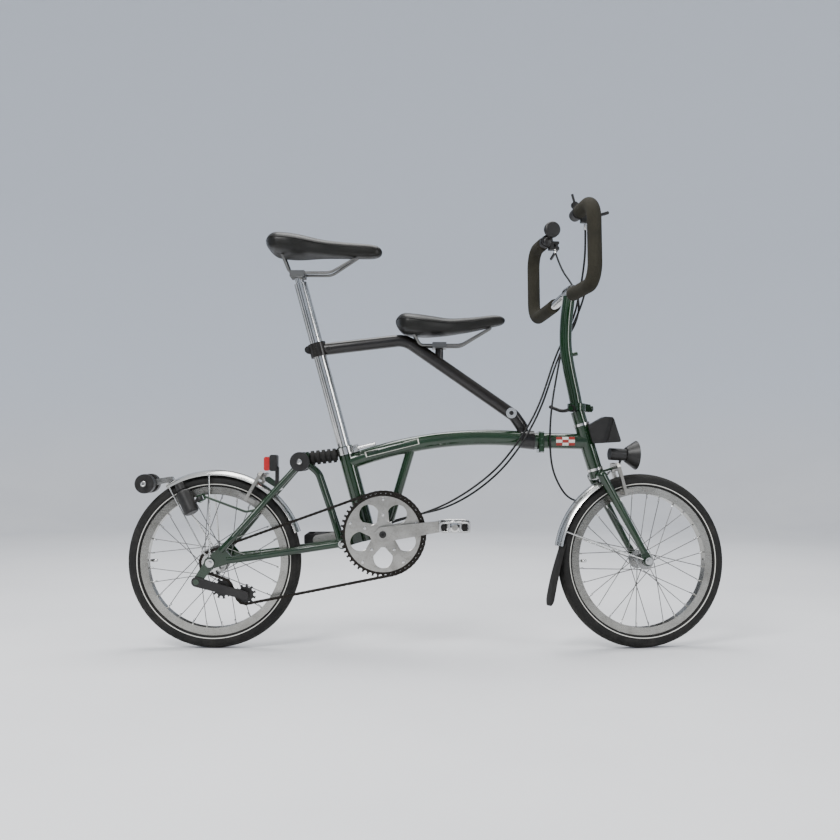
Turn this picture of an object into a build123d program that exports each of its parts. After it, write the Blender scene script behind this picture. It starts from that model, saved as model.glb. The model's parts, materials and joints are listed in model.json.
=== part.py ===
"""Folding bicycle with 16 inch wheels and a second saddle on a clamped bar.

Frame of reference: X points forward, Y to the rider's left and Z up. The origin is on the ground, in the
mid-plane, straight under the bottom bracket. Sizes are in millimetres and degrees.
"""
from build123d import *
import os
from math import asin, atan2, cos, hypot, pi, radians, sin, tan

# ------------------------------------------------------------------ wheels
TYRE_RADIUS = 211.5
TYRE_WIDTH = 37.0
TYRE_WALL = 3.0
BEAD_RADIUS = 174.5
RIM_WIDTH = 24.0
RIM_WALL = 2.2
RIM_FLANGE = 6.0
RIM_DEPTH = 12.5
SPOKES = 28
SPOKE_RADIUS = 1.0
SPOKE_LEAD = 58.0
VALVE_RADIUS = 3.0
FRONT_AXLE_X = 632.0
REAR_AXLE_X = -413.0
FRONT_AXLE_RADIUS = 4.5
REAR_AXLE_RADIUS = 4.75
FRONT_DROPOUT_GAP = 80.0
REAR_DROPOUT_GAP = 110.0
DROPOUT_PLATE = 4.0
FRONT_HUB_RADIUS = 13.0
FRONT_FLANGE_RADIUS = 21.5
REAR_HUB_RADIUS = 27.0
REAR_FLANGE_RADIUS = 34.0
FLANGE_SPACING = 54.0

# ------------------------------------------------------------------ drive
BRACKET_Z = 280.0
SHELL_RADIUS = 20.0
SHELL_WIDTH = 68.0
SPINDLE_RADIUS = 8.5
CRANK_LENGTH = 170.0
CRANK_ANGLE = 8.0
CRANK_INNER = 58.0
CRANK_THICKNESS = 14.0
CHAIN_PITCH = 12.7
CHAIN_LINE = 47.0
CHAINRING_TEETH = 50
SPROCKET_TEETH = 13
JOCKEY_TEETH = 11
CHAIN_WHEEL_THICKNESS = 3.0
GUIDE_JOCKEY = (-385.0, 150.0)
TENSION_JOCKEY = (-330.0, 135.0)
TENSIONER_PIVOT = (-445.0, 167.0)
PEDAL_LENGTH = 72.0
PEDAL_WIDTH = 88.0
PEDAL_HEIGHT = 26.0

# ------------------------------------------------------------------ main frame and seat pillar
MAIN_TUBE_RADIUS = 19.0
TUBE_WALL = 1.7
SEAT_ANGLE = 15.2
SEAT_AXIS_X = -40.5
SEAT_TUBE_BOTTOM = 262.0
SEAT_TUBE_TOP = 490.0
SEAT_TUBE_WALL = 3.5
SEAT_CLAMP_HEIGHT = 18.0
PILLAR_RADIUS = 15.9
PILLAR_TOP = 893.0
PILLAR_LENGTH = 560.0
RUNNING_FIT = 0.05
HINGE_X = 384.0
HINGE_Y = -28.0
HINGE_Z = 501.0
HINGE_HEIGHT = 52.0
HINGE_PLATE = 6.0
HINGE_PIN_RADIUS = 4.0
REAR_PIVOT = (-100.0, 254.0)
REAR_PIVOT_RADIUS = 6.0
SECOND_BAR_RADIUS = 15.0
SADDLE_REAR_X = -293.0
SECOND_SADDLE_REAR_X = 27.0
SECOND_POST_X = 136.0

# ------------------------------------------------------------------ steering
HEAD_TILT = 16.5
HEAD_X = 502.0
HEAD_Z = 489.5
HEAD_TUBE_HALF = 52.0
STEERER_RADIUS = 12.7
HEAD_CUP_WALL = 2.0
HEAD_TUBE_WALL = 3.3
HEAD_TUBE_RADIUS = STEERER_RADIUS + HEAD_CUP_WALL + HEAD_TUBE_WALL
STEER_REST = 10.0
CROWN_HALF = 37.0
STEM_HINGE_Z = 586.0
STEM_PIN_OFFSET = 48.0
STEM_BOLT_Z = -4.6
POST_RADIUS = 15.0
BAR_RADIUS = 11.1
GRIP_RADIUS = 16.5
BAR_HALF_WIDTH = 245.0
BAR_CLAMP = (462.5, 873.0)
BAR_SETBACK = 22.0
BAR_DROP = 28.0
BAR_RISE = 161.0
BAR_END_Y = 108.0

# ------------------------------------------------------------------ guards, brakes and lights
GUARD_RADIUS = 27.0
GUARD_THICKNESS = 1.4
GUARD_HALF_ARC = 56.0
REAR_GUARD_ARC = (19.0, 123.0)
FRONT_GUARD_ARC = (119.0, 170.0)
CALIPER_REACH = 235.0
REAR_CALIPER_ANGLE = 60.7
FRONT_CALIPER_ANGLE = 105.0
CALIPER_ARM = 7.5
PAD_GAP = 1.0
ROLLER_RADIUS = 23.5
DYNAMO_RADIUS = 18.0

# ------------------------------------------------------------------ values that follow from the sizes
AXLE_Z = TYRE_RADIUS
BASE = (Align.CENTER, Align.CENTER, Align.MIN)
SEAT_UP = (-sin(radians(SEAT_ANGLE)), 0.0, cos(radians(SEAT_ANGLE)))
HEAD_UP = (-sin(radians(HEAD_TILT)), 0.0, cos(radians(HEAD_TILT)))
HEAD_AXIS = Axis((HEAD_X, 0, HEAD_Z), HEAD_UP)


# ================================================================== helpers
def rod(start, end, radius, bore=0.0):
    """Round bar, or a tube if it has a bore, from one point to another."""
    along = Vector(*end) - Vector(*start)
    place = Plane(origin=Vector(*start), z_dir=along)
    solid = place * Cylinder(radius, along.length, align=BASE)
    if bore > 0:
        solid -= place * Cylinder(bore, along.length, align=BASE)
    return solid


def taper(start, end, radius_start, radius_end):
    """Round bar whose radius changes evenly from one point to another."""
    along = Vector(*end) - Vector(*start)
    place = Plane(origin=Vector(*start), z_dir=along)
    return place * Cone(radius_start, radius_end, along.length, align=BASE)


def cross_disc(x, z, radius, y_low, y_high, bore=0.0):
    """Disc or ring on an axis across the bicycle."""
    return rod((x, y_low, z), (x, y_high, z), radius, bore)


def plate(outline, y_low, y_high):
    """Extrude an outline drawn in the side view (X and Z) between two lateral stations."""
    return extrude(Plane.XZ.offset(-y_high) * outline, amount=y_high - y_low)


def link(circles, y_low, y_high):
    """Plate with the outline of a belt round two or more circles, each given as x, z and radius."""
    outline = Sketch() + [Pos(x, z) * Circle(radius) for x, z, radius in circles]
    return plate(make_hull(outline.edges()), y_low, y_high)


def bent_bar(points, radius, bends, bore=0.0):
    """Round bar along straight runs that tangent arcs join."""
    path = FilletPolyline(*points, radius=bends)
    start = Plane(origin=path @ 0, z_dir=path % 0)
    section = start * Circle(radius)
    if bore > 0:
        section -= start * Circle(bore)
    return sweep(section, path=path)


def cable_bends(points, share=0.45):
    """Radius of each corner's arc: a share of the shorter run over the tangent of half the turn."""
    radii = []
    for before, corner, after in zip(points, points[1:], points[2:]):
        run_in = Vector(*corner) - Vector(*before)
        run_out = Vector(*after) - Vector(*corner)
        turn = radians(run_in.get_angle(run_out))
        radii.append(share * min(run_in.length, run_out.length) / tan(turn / 2))
    return radii


def cable(points, radius, label):
    """Cable housing along its whole route; the smallest bend is printed."""
    radii = cable_bends(points)
    print(f"{label}: smallest bend {min(radii):.0f} mm over {len(radii)} corners")
    return bent_bar(points, radius, radii)


def seat_point(z, y=0.0):
    """Point on the seat pillar's axis at a height."""
    return (SEAT_AXIS_X - (z - BRACKET_Z) * tan(radians(SEAT_ANGLE)), y, z)


def head_point(z, y=0.0):
    """Point on the steering axis at a height."""
    return (HEAD_X - (z - HEAD_Z) * tan(radians(HEAD_TILT)), y, z)


def steer(shape):
    """Turn a piece of the steered assembly from straight ahead to its rest position."""
    return shape.rotate(HEAD_AXIS, STEER_REST)


def polar(centre_x, radius, angle, y=0.0):
    """Point at a radius and an angle above forward, seen from the right, around an axle."""
    return (centre_x + radius * cos(radians(angle)), y, AXLE_Z + radius * sin(radians(angle)))


def write(name, shapes):
    """Write one node, a group of separate solids, to its STEP file."""
    solids = [solid for shape in shapes for solid in shape.solids()]
    export_step(Compound(solids), os.path.join("parts", name + ".step"))


# ================================================================== wheels
def at_axle(shape, axle_x):
    """Move a wheel piece from the origin to its axle."""
    return Pos(axle_x, 0, AXLE_Z) * shape


def tyre():
    """Tyre casing with its two beads, and the inner tube with its valve, round the Y axis."""
    half = TYRE_WIDTH / 2
    centre = TYRE_RADIUS - half
    flange_radius = BEAD_RADIUS + RIM_FLANGE
    inside = RIM_WIDTH / 2 - RIM_WALL
    above_flange = Pos(flange_radius + 0.3 + half, 0) * Rectangle(2 * half, 3 * half)
    outer = (Pos(centre, 0) * Circle(half)) & above_flange
    bead_height = RIM_FLANGE + 2
    beads = Pos(BEAD_RADIUS + bead_height / 2, 0) * Rectangle(bead_height, 2 * inside)
    mouth = Pos(BEAD_RADIUS + half / 2, 0) * Rectangle(half + 2, 2 * inside - 7)
    casing = revolve(outer + beads - Pos(centre, 0) * Circle(half - TYRE_WALL) - mouth, Axis.Y)
    tube_radius = half - TYRE_WALL - 0.3
    tube = revolve(Pos(centre, 0) * (Circle(tube_radius) - Circle(tube_radius - 1.2)), Axis.Y)
    valve_foot = centre - tube_radius + 0.6
    valve = rod((valve_foot - 28, 0, 0), (valve_foot, 0, 0), VALVE_RADIUS)
    passage = rod((valve_foot - 29, 0, 0), (valve_foot + 1, 0, 0), VALVE_RADIUS / 2)
    return [casing, tube + valve - passage]


def rim():
    """Box-section rim with a channel for the beads, round the Y axis."""
    inner = BEAD_RADIUS - RIM_DEPTH
    outer = BEAD_RADIUS + RIM_FLANGE
    channel_width = RIM_WIDTH - 2 * RIM_WALL
    section = Pos((inner + outer) / 2, 0) * Rectangle(outer - inner, RIM_WIDTH)
    section -= Pos(BEAD_RADIUS + RIM_FLANGE, 0) * Rectangle(2 * RIM_FLANGE, channel_width)
    box_height = RIM_DEPTH - 2 * RIM_WALL
    section -= Pos(inner + RIM_DEPTH / 2, 0) * Rectangle(box_height, channel_width)
    valve_hole = rod((inner - 5, 0, 0), (outer + 5, 0, 0), VALVE_RADIUS + 0.2)
    return [revolve(section, Axis.Y) - valve_hole]


def hub(barrel, flange, half_width, axle_radius):
    """Hub shell with two flanges and two bearings, and its laced spokes, round the Y axis."""
    flange_y = FLANGE_SPACING / 2
    shell = cross_disc(0, 0, barrel, -half_width, half_width)
    shell += cross_disc(0, 0, flange, -flange_y - 1.5, -flange_y + 1.5)
    shell += cross_disc(0, 0, flange, flange_y - 1.5, flange_y + 1.5)
    seat = axle_radius + 4.5
    shell -= cross_disc(0, 0, seat, -half_width, half_width)
    bore = axle_radius + RUNNING_FIT
    bearings = [
        cross_disc(0, 0, seat, *sorted((side * (half_width - 8), side * half_width)), bore)
        for side in (-1, 1)
    ]
    rim_radius = BEAD_RADIUS - RIM_DEPTH
    start_radius = flange + SPOKE_RADIUS + 0.3
    spokes = []
    for index in range(SPOKES):
        side = 1 if index % 2 else -1
        trailing = 1 if (index // 2) % 2 else -1
        rim_angle = radians((index + 0.5) * 360 / SPOKES)
        hub_angle = rim_angle + trailing * radians(SPOKE_LEAD)
        hub_y = side * (flange_y + trailing * 1.3)
        start = (start_radius * cos(hub_angle), hub_y, start_radius * sin(hub_angle))
        end_radius = rim_radius - 0.4
        end = (end_radius * cos(rim_angle), side * 3.0, end_radius * sin(rim_angle))
        spokes.append(rod(start, end, SPOKE_RADIUS))
    return [shell] + bearings + spokes


def guard(axle_x, arc):
    """Mudguard strip: a curved section carried round the axle between two angles above forward."""
    centre = TYRE_RADIUS - TYRE_WIDTH / 2
    band = Circle(GUARD_RADIUS + GUARD_THICKNESS) - Circle(GUARD_RADIUS)
    reach = 2 * GUARD_RADIUS
    edge = radians(GUARD_HALF_ARC)
    window = Polyline((0, 0), (reach * cos(edge), reach * sin(edge)), (2 * reach, 0),
                      (reach * cos(edge), -reach * sin(edge)), close=True)
    section = Pos(centre, 0) * (band & make_face(window))
    strip = revolve(section, Axis.Y, revolution_arc=arc[1] - arc[0])
    return at_axle(strip.rotate(Axis.Y, -arc[1]), axle_x)


# ================================================================== drive
def toothed_disc(teeth, thickness, bore):
    """Sprocket plate: roller seats cut on the pitch circle, centred on the Y axis."""
    pitch_radius = sprocket_radius(teeth)
    outline = Circle(pitch_radius + 2.4) - Circle(bore)
    outline -= [Rot(0, 0, step * 360 / teeth) * (Pos(pitch_radius, 0) * Circle(4.1)) for step in range(teeth)]
    return plate(outline, -thickness / 2, thickness / 2)


def sprocket_radius(teeth):
    """Pitch radius of a chain wheel."""
    return CHAIN_PITCH / (2 * sin(pi / teeth))


def chain_wheels():
    """Wheels that the chain passes, in order: x, z, pitch radius and side of the chain (1 inside)."""
    return [
        (0.0, BRACKET_Z, sprocket_radius(CHAINRING_TEETH), 1),
        (REAR_AXLE_X, AXLE_Z, sprocket_radius(SPROCKET_TEETH), 1),
        (GUIDE_JOCKEY[0], GUIDE_JOCKEY[1], sprocket_radius(JOCKEY_TEETH), -1),
        (TENSION_JOCKEY[0], TENSION_JOCKEY[1], sprocket_radius(JOCKEY_TEETH), 1),
    ]


def chain_spans(inset):
    """Straight spans between the wheels, with the loop drawn an inset inside the pitch line."""
    wheels = chain_wheels()
    spans = []
    for here, there in zip(wheels, wheels[1:] + wheels[:1]):
        offset_here = here[3] * here[2] - inset
        offset_there = there[3] * there[2] - inset
        gap_x, gap_z = there[0] - here[0], there[1] - here[1]
        heading = atan2(gap_z, gap_x) - asin((offset_there - offset_here) / hypot(gap_x, gap_z))
        normal = (-sin(heading), cos(heading))
        leave = (here[0] - offset_here * normal[0], here[1] - offset_here * normal[1])
        arrive = (there[0] - offset_there * normal[0], there[1] - offset_there * normal[1])
        spans.append((leave, arrive, heading))
    return spans


def chain_loop(inset):
    """Closed face inside the chain's path: tangent spans and arcs round each wheel."""
    wheels = chain_wheels()
    spans = chain_spans(inset)
    edges = []
    for index, (x, z, radius, side) in enumerate(wheels):
        before, after = spans[index - 1], spans[index]
        turn = (after[2] - before[2]) % (2 * pi)
        if side < 0:
            turn -= 2 * pi
        middle = before[2] + turn / 2
        offset = side * radius - inset
        top = (x + offset * sin(middle), z - offset * cos(middle))
        edges.append(ThreePointArc(before[1], top, after[0]))
        edges.append(Line(after[0], after[1]))
    return make_face(Wire(edges))


def chain():
    """Two rows of side plates round the whole loop, with rollers and pins on the free spans."""
    half_height, plate_thickness = 4.0, 1.6
    half_width = CHAIN_WHEEL_THICKNESS / 2 + 0.5 + plate_thickness
    band = chain_loop(-half_height) - chain_loop(half_height)
    rows = [
        plate(band, -CHAIN_LINE - half_width, -CHAIN_LINE - half_width + plate_thickness),
        plate(band, -CHAIN_LINE + half_width - plate_thickness, -CHAIN_LINE + half_width),
    ]
    wheels = chain_wheels()
    rollers = []
    for index, (leave, arrive, heading) in enumerate(chain_spans(0.0)):
        length = hypot(arrive[0] - leave[0], arrive[1] - leave[1])
        near = tooth_margin(wheels[index][2])
        far = length - tooth_margin(wheels[(index + 1) % len(wheels)][2])
        for step in range(int(length / CHAIN_PITCH)):
            along = (step + 0.5) * CHAIN_PITCH
            if near < along < far:
                x, z = leave[0] + along * cos(heading), leave[1] + along * sin(heading)
                y_low, y_high = -CHAIN_LINE - half_width + 0.5, -CHAIN_LINE + half_width - 0.5
                rollers.append(cross_disc(x, z, 3.2, y_low, y_high))
    return [rows[0] + rows[1] + rollers]


def tooth_margin(pitch_radius):
    """Length of a free span beside a wheel where a roller would still meet the teeth."""
    tip_and_roller = 2.4 + 3.2 + 0.4
    return ((pitch_radius + tip_and_roller) ** 2 - pitch_radius ** 2) ** 0.5


def chainring():
    """Toothed ring with five tabs that bolt to the spider."""
    ring = toothed_disc(CHAINRING_TEETH, CHAIN_WHEEL_THICKNESS, 88.0)
    half = CHAIN_WHEEL_THICKNESS / 2
    tabs = [Rot(0, -90 - step * 72, 0) * cross_disc(82, 0, 10, -half, half) for step in range(5)]
    return [Pos(0, -CHAIN_LINE, BRACKET_Z) * (ring + tabs)]


def crank_arm(angle, y_low, y_high):
    """Tapered arm from the spindle to the pedal eye."""
    tip = (CRANK_LENGTH * cos(radians(angle)), BRACKET_Z + CRANK_LENGTH * sin(radians(angle)))
    return link([(0, BRACKET_Z, 18), (tip[0], tip[1], 12)], y_low, y_high)


def crankset():
    """Spindle, two arms and the five-armed spider."""
    outer = CRANK_INNER + CRANK_THICKNESS
    spider_high = -CHAIN_LINE - CHAIN_WHEEL_THICKNESS / 2
    spider_low = spider_high - 4
    body = cross_disc(0, BRACKET_Z, SPINDLE_RADIUS, -outer, outer)
    body += crank_arm(CRANK_ANGLE, -outer, -CRANK_INNER)
    body += crank_arm(CRANK_ANGLE + 180, CRANK_INNER, outer)
    body += cross_disc(0, BRACKET_Z, 30, spider_low, spider_high)
    body += cross_disc(0, BRACKET_Z, 16, -outer, spider_high)
    for step in range(5):
        angle = radians(90 + step * 72)
        reach = (82 * cos(angle), BRACKET_Z + 82 * sin(angle))
        body += link([(0, BRACKET_Z, 18), (reach[0], reach[1], 9)], spider_low, spider_high)
    tip_x = CRANK_LENGTH * cos(radians(CRANK_ANGLE))
    tip_z = CRANK_LENGTH * sin(radians(CRANK_ANGLE))
    axle = 7.0
    pins = [
        cross_disc(tip_x, BRACKET_Z + tip_z, axle, -outer - PEDAL_WIDTH - 8, -CRANK_INNER),
        cross_disc(-tip_x, BRACKET_Z - tip_z, axle, CRANK_INNER, outer + PEDAL_WIDTH + 8),
    ]
    return [body + pins]


def pedal(side):
    """Pedal body with an open cage and rubber treads, on its pin; side is -1 on the right."""
    tip_x = -side * CRANK_LENGTH * cos(radians(CRANK_ANGLE))
    tip_z = BRACKET_Z - side * CRANK_LENGTH * sin(radians(CRANK_ANGLE))
    near = CRANK_INNER + CRANK_THICKNESS + 5
    far = near + PEDAL_WIDTH
    low, high = (near, far) if side > 0 else (-far, -near)
    frame = plate(RectangleRounded(PEDAL_LENGTH, PEDAL_HEIGHT, 6), low, high)
    slot_y = (low + high) / 2
    window = Box(16, PEDAL_WIDTH - 24, PEDAL_HEIGHT + 2)
    frame -= Pos(-22, slot_y, 0) * window
    frame -= Pos(22, slot_y, 0) * window
    frame -= cross_disc(0, 0, 7.0 + RUNNING_FIT, low - 1, high + 1)
    return [Pos(tip_x, 0, tip_z) * frame]


def sprocket():
    """Rear sprocket on its collar beside the hub shell."""
    disc = toothed_disc(SPROCKET_TEETH, CHAIN_WHEEL_THICKNESS, REAR_AXLE_RADIUS + RUNNING_FIT)
    collar = cross_disc(0, 0, 15, -1.0, 6.0, REAR_AXLE_RADIUS + RUNNING_FIT)
    return [Pos(REAR_AXLE_X, -CHAIN_LINE, AXLE_Z) * (disc + collar)]


def jockey(centre):
    """Toothed jockey wheel with its boss."""
    wheel = toothed_disc(JOCKEY_TEETH, CHAIN_WHEEL_THICKNESS, 3.0 + RUNNING_FIT)
    boss = cross_disc(0, 0, 9, -4.5, 4.5, 3.0 + RUNNING_FIT)
    return [Pos(centre[0], -CHAIN_LINE, centre[1]) * (wheel + boss)]


def tensioner_arm():
    """Sprung arm outside the dropout that carries both jockey wheels on pins."""
    inner = REAR_DROPOUT_GAP / 2 + DROPOUT_PLATE + 0.4
    outer = inner + 5
    arm = link([(*TENSIONER_PIVOT, 12), (*GUIDE_JOCKEY, 10)], -outer, -inner)
    arm += link([(*GUIDE_JOCKEY, 10), (*TENSION_JOCKEY, 10)], -outer, -inner)
    for x, z in (GUIDE_JOCKEY, TENSION_JOCKEY):
        arm += cross_disc(x, z, 3.0, -inner, -CHAIN_LINE + 5.0)
        arm += cross_disc(x, z, 6.0, -inner, -CHAIN_LINE - 4.8)
    arm -= cross_disc(*TENSIONER_PIVOT, 4.0 + RUNNING_FIT, -outer - 1, -inner + 1)
    return [arm]


# ================================================================== main frame
def main_arc(radius):
    """Arched main tube from the seat tube to the frame hinge."""
    path = ThreePointArc((-88, 0, 450), (162, 0, 508), (HINGE_X - HINGE_PLATE, 0, HINGE_Z + 3))
    return sweep(Plane(origin=path @ 0, z_dir=path % 0) * Circle(radius), path=path)


def hinge_plate(x_low, x_high, z_bands):
    """Half of the frame hinge: a rounded plate across the tube and knuckles round the upright pin."""
    clear = 8.0
    width = -HINGE_Y - clear + MAIN_TUBE_RADIUS + 9
    centre_y = HINGE_Y + clear + width / 2
    leaf = Pos((x_low + x_high) / 2, centre_y, HINGE_Z) * Box(x_high - x_low, width, HINGE_HEIGHT)
    leaf = fillet(leaf.edges().filter_by(Axis.X), 7)
    middle = (x_low + x_high) / 2
    for z_low, z_high in z_bands:
        height = z_high - z_low
        strap = Box(x_high - x_low, clear + 4, height)
        leaf += Pos(middle, HINGE_Y + clear / 2 + 2, (z_low + z_high) / 2) * strap
        leaf += Pos(HINGE_X, HINGE_Y, z_low) * Cylinder(7, height, align=BASE)
    for z_low, z_high in z_bands:
        bore = Cylinder(HINGE_PIN_RADIUS + RUNNING_FIT, z_high - z_low + 2, align=BASE)
        leaf -= Pos(HINGE_X, HINGE_Y, z_low - 1) * bore
    return leaf


def hinge_bands():
    """Heights of the rear and the front knuckles of the frame hinge."""
    low, high = HINGE_Z - HINGE_HEIGHT / 2 + 3, HINGE_Z + HINGE_HEIGHT / 2 - 3
    third = (high - low) / 3
    gap = 0.3
    rear = [(low, low + third - gap), (high - third + gap, high)]
    front = [(low + third + gap, high - third - gap)]
    return rear, front


def knuckle_relief(z_bands):
    """Space round the other half's knuckles, taken out of a hinge plate."""
    relief = Part()
    for z_low, z_high in z_bands:
        relief += Pos(HINGE_X, HINGE_Y, z_low - 0.3) * Cylinder(7.4, z_high - z_low + 0.6, align=BASE)
    return relief


def main_frame():
    """Welded rear half of the frame, with the seat tube, bottom bracket shell and hinge halves."""
    rear_bands, front_bands = hinge_bands()
    seat_radius = PILLAR_RADIUS + SEAT_TUBE_WALL
    frame = rod(seat_point(SEAT_TUBE_BOTTOM), seat_point(SEAT_TUBE_TOP), seat_radius)
    frame += main_arc(MAIN_TUBE_RADIUS)
    frame += hinge_plate(HINGE_X - HINGE_PLATE, HINGE_X - 0.2, rear_bands) - knuckle_relief(front_bands)
    frame += rod((66, 0, 484), (8, 0, BRACKET_Z + 8), 11)
    frame += cross_disc(0, BRACKET_Z, SHELL_RADIUS, -SHELL_WIDTH / 2, SHELL_WIDTH / 2)
    frame += link([(0, BRACKET_Z, 12), (-42, 286, 14)], -12, 12)
    pivot_x, pivot_z = REAR_PIVOT
    frame += cross_disc(pivot_x, pivot_z, 12, -17, 17)
    frame += link([(pivot_x, pivot_z, 10), (-40, 276, 14)], -11, 11)
    frame -= main_arc(MAIN_TUBE_RADIUS - TUBE_WALL)
    mouth = Cylinder(MAIN_TUBE_RADIUS - TUBE_WALL - 1, 3 * HINGE_PLATE)
    frame -= Pos(HINGE_X, 0, HINGE_Z + 3) * Rot(0, 90, 0) * mouth
    frame += rod((66, 0, 484), (60, 0, 464), 11)
    frame += rod(seat_point(SEAT_TUBE_BOTTOM), seat_point(SEAT_TUBE_TOP), seat_radius)
    below, above = seat_point(SEAT_TUBE_BOTTOM - 60), seat_point(SEAT_TUBE_TOP + 60)
    frame -= rod(below, above, PILLAR_RADIUS + RUNNING_FIT)
    frame -= cross_disc(0, BRACKET_Z, SHELL_RADIUS - 3, -SHELL_WIDTH / 2, SHELL_WIDTH / 2)
    frame -= cross_disc(pivot_x, pivot_z, REAR_PIVOT_RADIUS, -18, 18)
    return [frame]


def bottom_bracket_bearings():
    """Two cartridge bearings pressed into the shell."""
    bore = SPINDLE_RADIUS + RUNNING_FIT
    end = SHELL_WIDTH / 2
    return [
        cross_disc(0, BRACKET_Z, SHELL_RADIUS - 3, *sorted((side * (end - 12), side * end)), bore)
        for side in (-1, 1)
    ]


def hinge_pins():
    """Upright pin of the frame hinge and the cross spindle of the rear hinge."""
    low, high = HINGE_Z - HINGE_HEIGHT / 2 + 2, HINGE_Z + HINGE_HEIGHT / 2 - 2
    upright = Pos(HINGE_X, HINGE_Y, low) * Cylinder(HINGE_PIN_RADIUS, high - low, align=BASE)
    upright += Pos(HINGE_X, HINGE_Y, high) * Cylinder(6, 2, align=BASE)
    upright += Pos(HINGE_X, HINGE_Y, low - 2) * Cylinder(6, 2, align=BASE)
    spindle = cross_disc(*REAR_PIVOT, REAR_PIVOT_RADIUS, -34, 34)
    spindle += cross_disc(*REAR_PIVOT, 9, -36.5, -34) + cross_disc(*REAR_PIVOT, 9, 34, 36.5)
    return [upright, spindle]


def seat_clamp_collar():
    """Split collar round the top of the seat tube, with lugs in front for the quick release."""
    seat_radius = PILLAR_RADIUS + SEAT_TUBE_WALL
    place = seat_clamp_plane()
    height = SEAT_CLAMP_HEIGHT
    collar = Cylinder(seat_radius + 4, height, align=BASE)
    collar += Pos(seat_radius + 7, 0, height / 2) * Box(16, 18, height)
    collar -= Cylinder(seat_radius, height, align=BASE)
    collar -= Pos(seat_radius + 7, 0, height / 2) * Box(24, 3, height + 2)
    skewer_x = seat_radius + 9
    skewer = place * rod((skewer_x, -14, height / 2), (skewer_x, 14, height / 2), 2.6)
    collar -= rod((skewer_x, -20, height / 2), (skewer_x, 20, height / 2), 2.7)
    collar -= main_arc_clearance(place)
    pivot = Vector(*seat_lever_pivot())
    skewer += Pos(pivot.X, -14.9, pivot.Z) * Box(8, 3.4, 16.8)
    skewer += Pos(*pivot) * Cylinder(3.0, 16.8)
    for side in (-1, 1):
        skewer += Pos(pivot.X, -20.5, pivot.Z + side * 7.4) * Box(8, 13, 2)
    return [place * collar, skewer]


def seat_clamp_plane():
    """Plane at the foot of the seat clamp: local X points forward and Z up the pillar."""
    foot = Vector(*seat_point(SEAT_TUBE_TOP - 2)) - SEAT_CLAMP_HEIGHT * Vector(*SEAT_UP)
    return Plane(origin=foot, x_dir=(cos(radians(SEAT_ANGLE)), 0, sin(radians(SEAT_ANGLE))), z_dir=SEAT_UP)


def main_arc_clearance(place):
    """The main tube with a small gap, in a collar's own frame."""
    return place.location.inverse() * main_arc(MAIN_TUBE_RADIUS + 0.3)


def seat_clamp_lever():
    """Quick-release lever on the right end of the seat clamp's skewer."""
    pivot = seat_lever_pivot()
    eye = Pos(*pivot) * Cylinder(7, 12)
    eye -= Pos(*pivot) * Cylinder(3.0 + RUNNING_FIT, 14)
    blade = rod((pivot[0] + 6, pivot[1] - 3, pivot[2]), (pivot[0] + 48, pivot[1] - 9, pivot[2] + 10), 4.0)
    return [eye + blade]


def seat_lever_pivot():
    """Centre of the seat clamp lever's eye."""
    local = Location((PILLAR_RADIUS + SEAT_TUBE_WALL + 9, -24, SEAT_CLAMP_HEIGHT / 2))
    return tuple((seat_clamp_plane().location * local).position)


def saddle_clamp(x, z, rail_gap=22.0):
    """Small cradle that holds two rails above a point."""
    block = Pos(x, 0, z) * Box(34, 2 * rail_gap + 12, 14)
    block -= rod((x - 30, rail_gap, z + 2), (x + 30, rail_gap, z + 2), 3.6)
    block -= rod((x - 30, -rail_gap, z + 2), (x + 30, -rail_gap, z + 2), 3.6)
    return block


def saddle_rail(side, rear_x, low_z, front_z, rear_z):
    """One saddle rail: up from the clamp to the nose in front and to the shell behind."""
    points = [
        (rear_x + 42, side * 34, rear_z),
        (rear_x + 62, side * 22, low_z),
        (rear_x + 162, side * 22, low_z),
        (rear_x + 236, side * 8, front_z),
    ]
    return bent_bar(points, 3.5, [14, 40])


def saddle_body(rear_x, stations):
    """Padded saddle as a plain closed form through sections: x, half width, underside and top."""
    sections = []
    for along, half, under, top in stations:
        place = Plane(origin=(rear_x + along, 0, (under + top) / 2), x_dir=(0, 1, 0), z_dir=(1, 0, 0))
        sections.append(place * RectangleRounded(2 * half, top - under, 0.45 * min(2 * half, top - under)))
    return loft(sections, ruled=True)


MAIN_SADDLE = [
    (0, 42, 982, 1004), (22, 74, 962, 1016), (75, 72, 956, 1012), (140, 40, 958, 998),
    (205, 24, 956, 992), (262, 20, 954, 988), (290, 13, 958, 980),
]
SECOND_SADDLE = [
    (0, 40, 786, 806), (20, 70, 766, 818), (70, 68, 760, 813), (135, 40, 764, 804),
    (200, 25, 774, 808), (252, 20, 786, 814), (273, 13, 792, 808),
]


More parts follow.
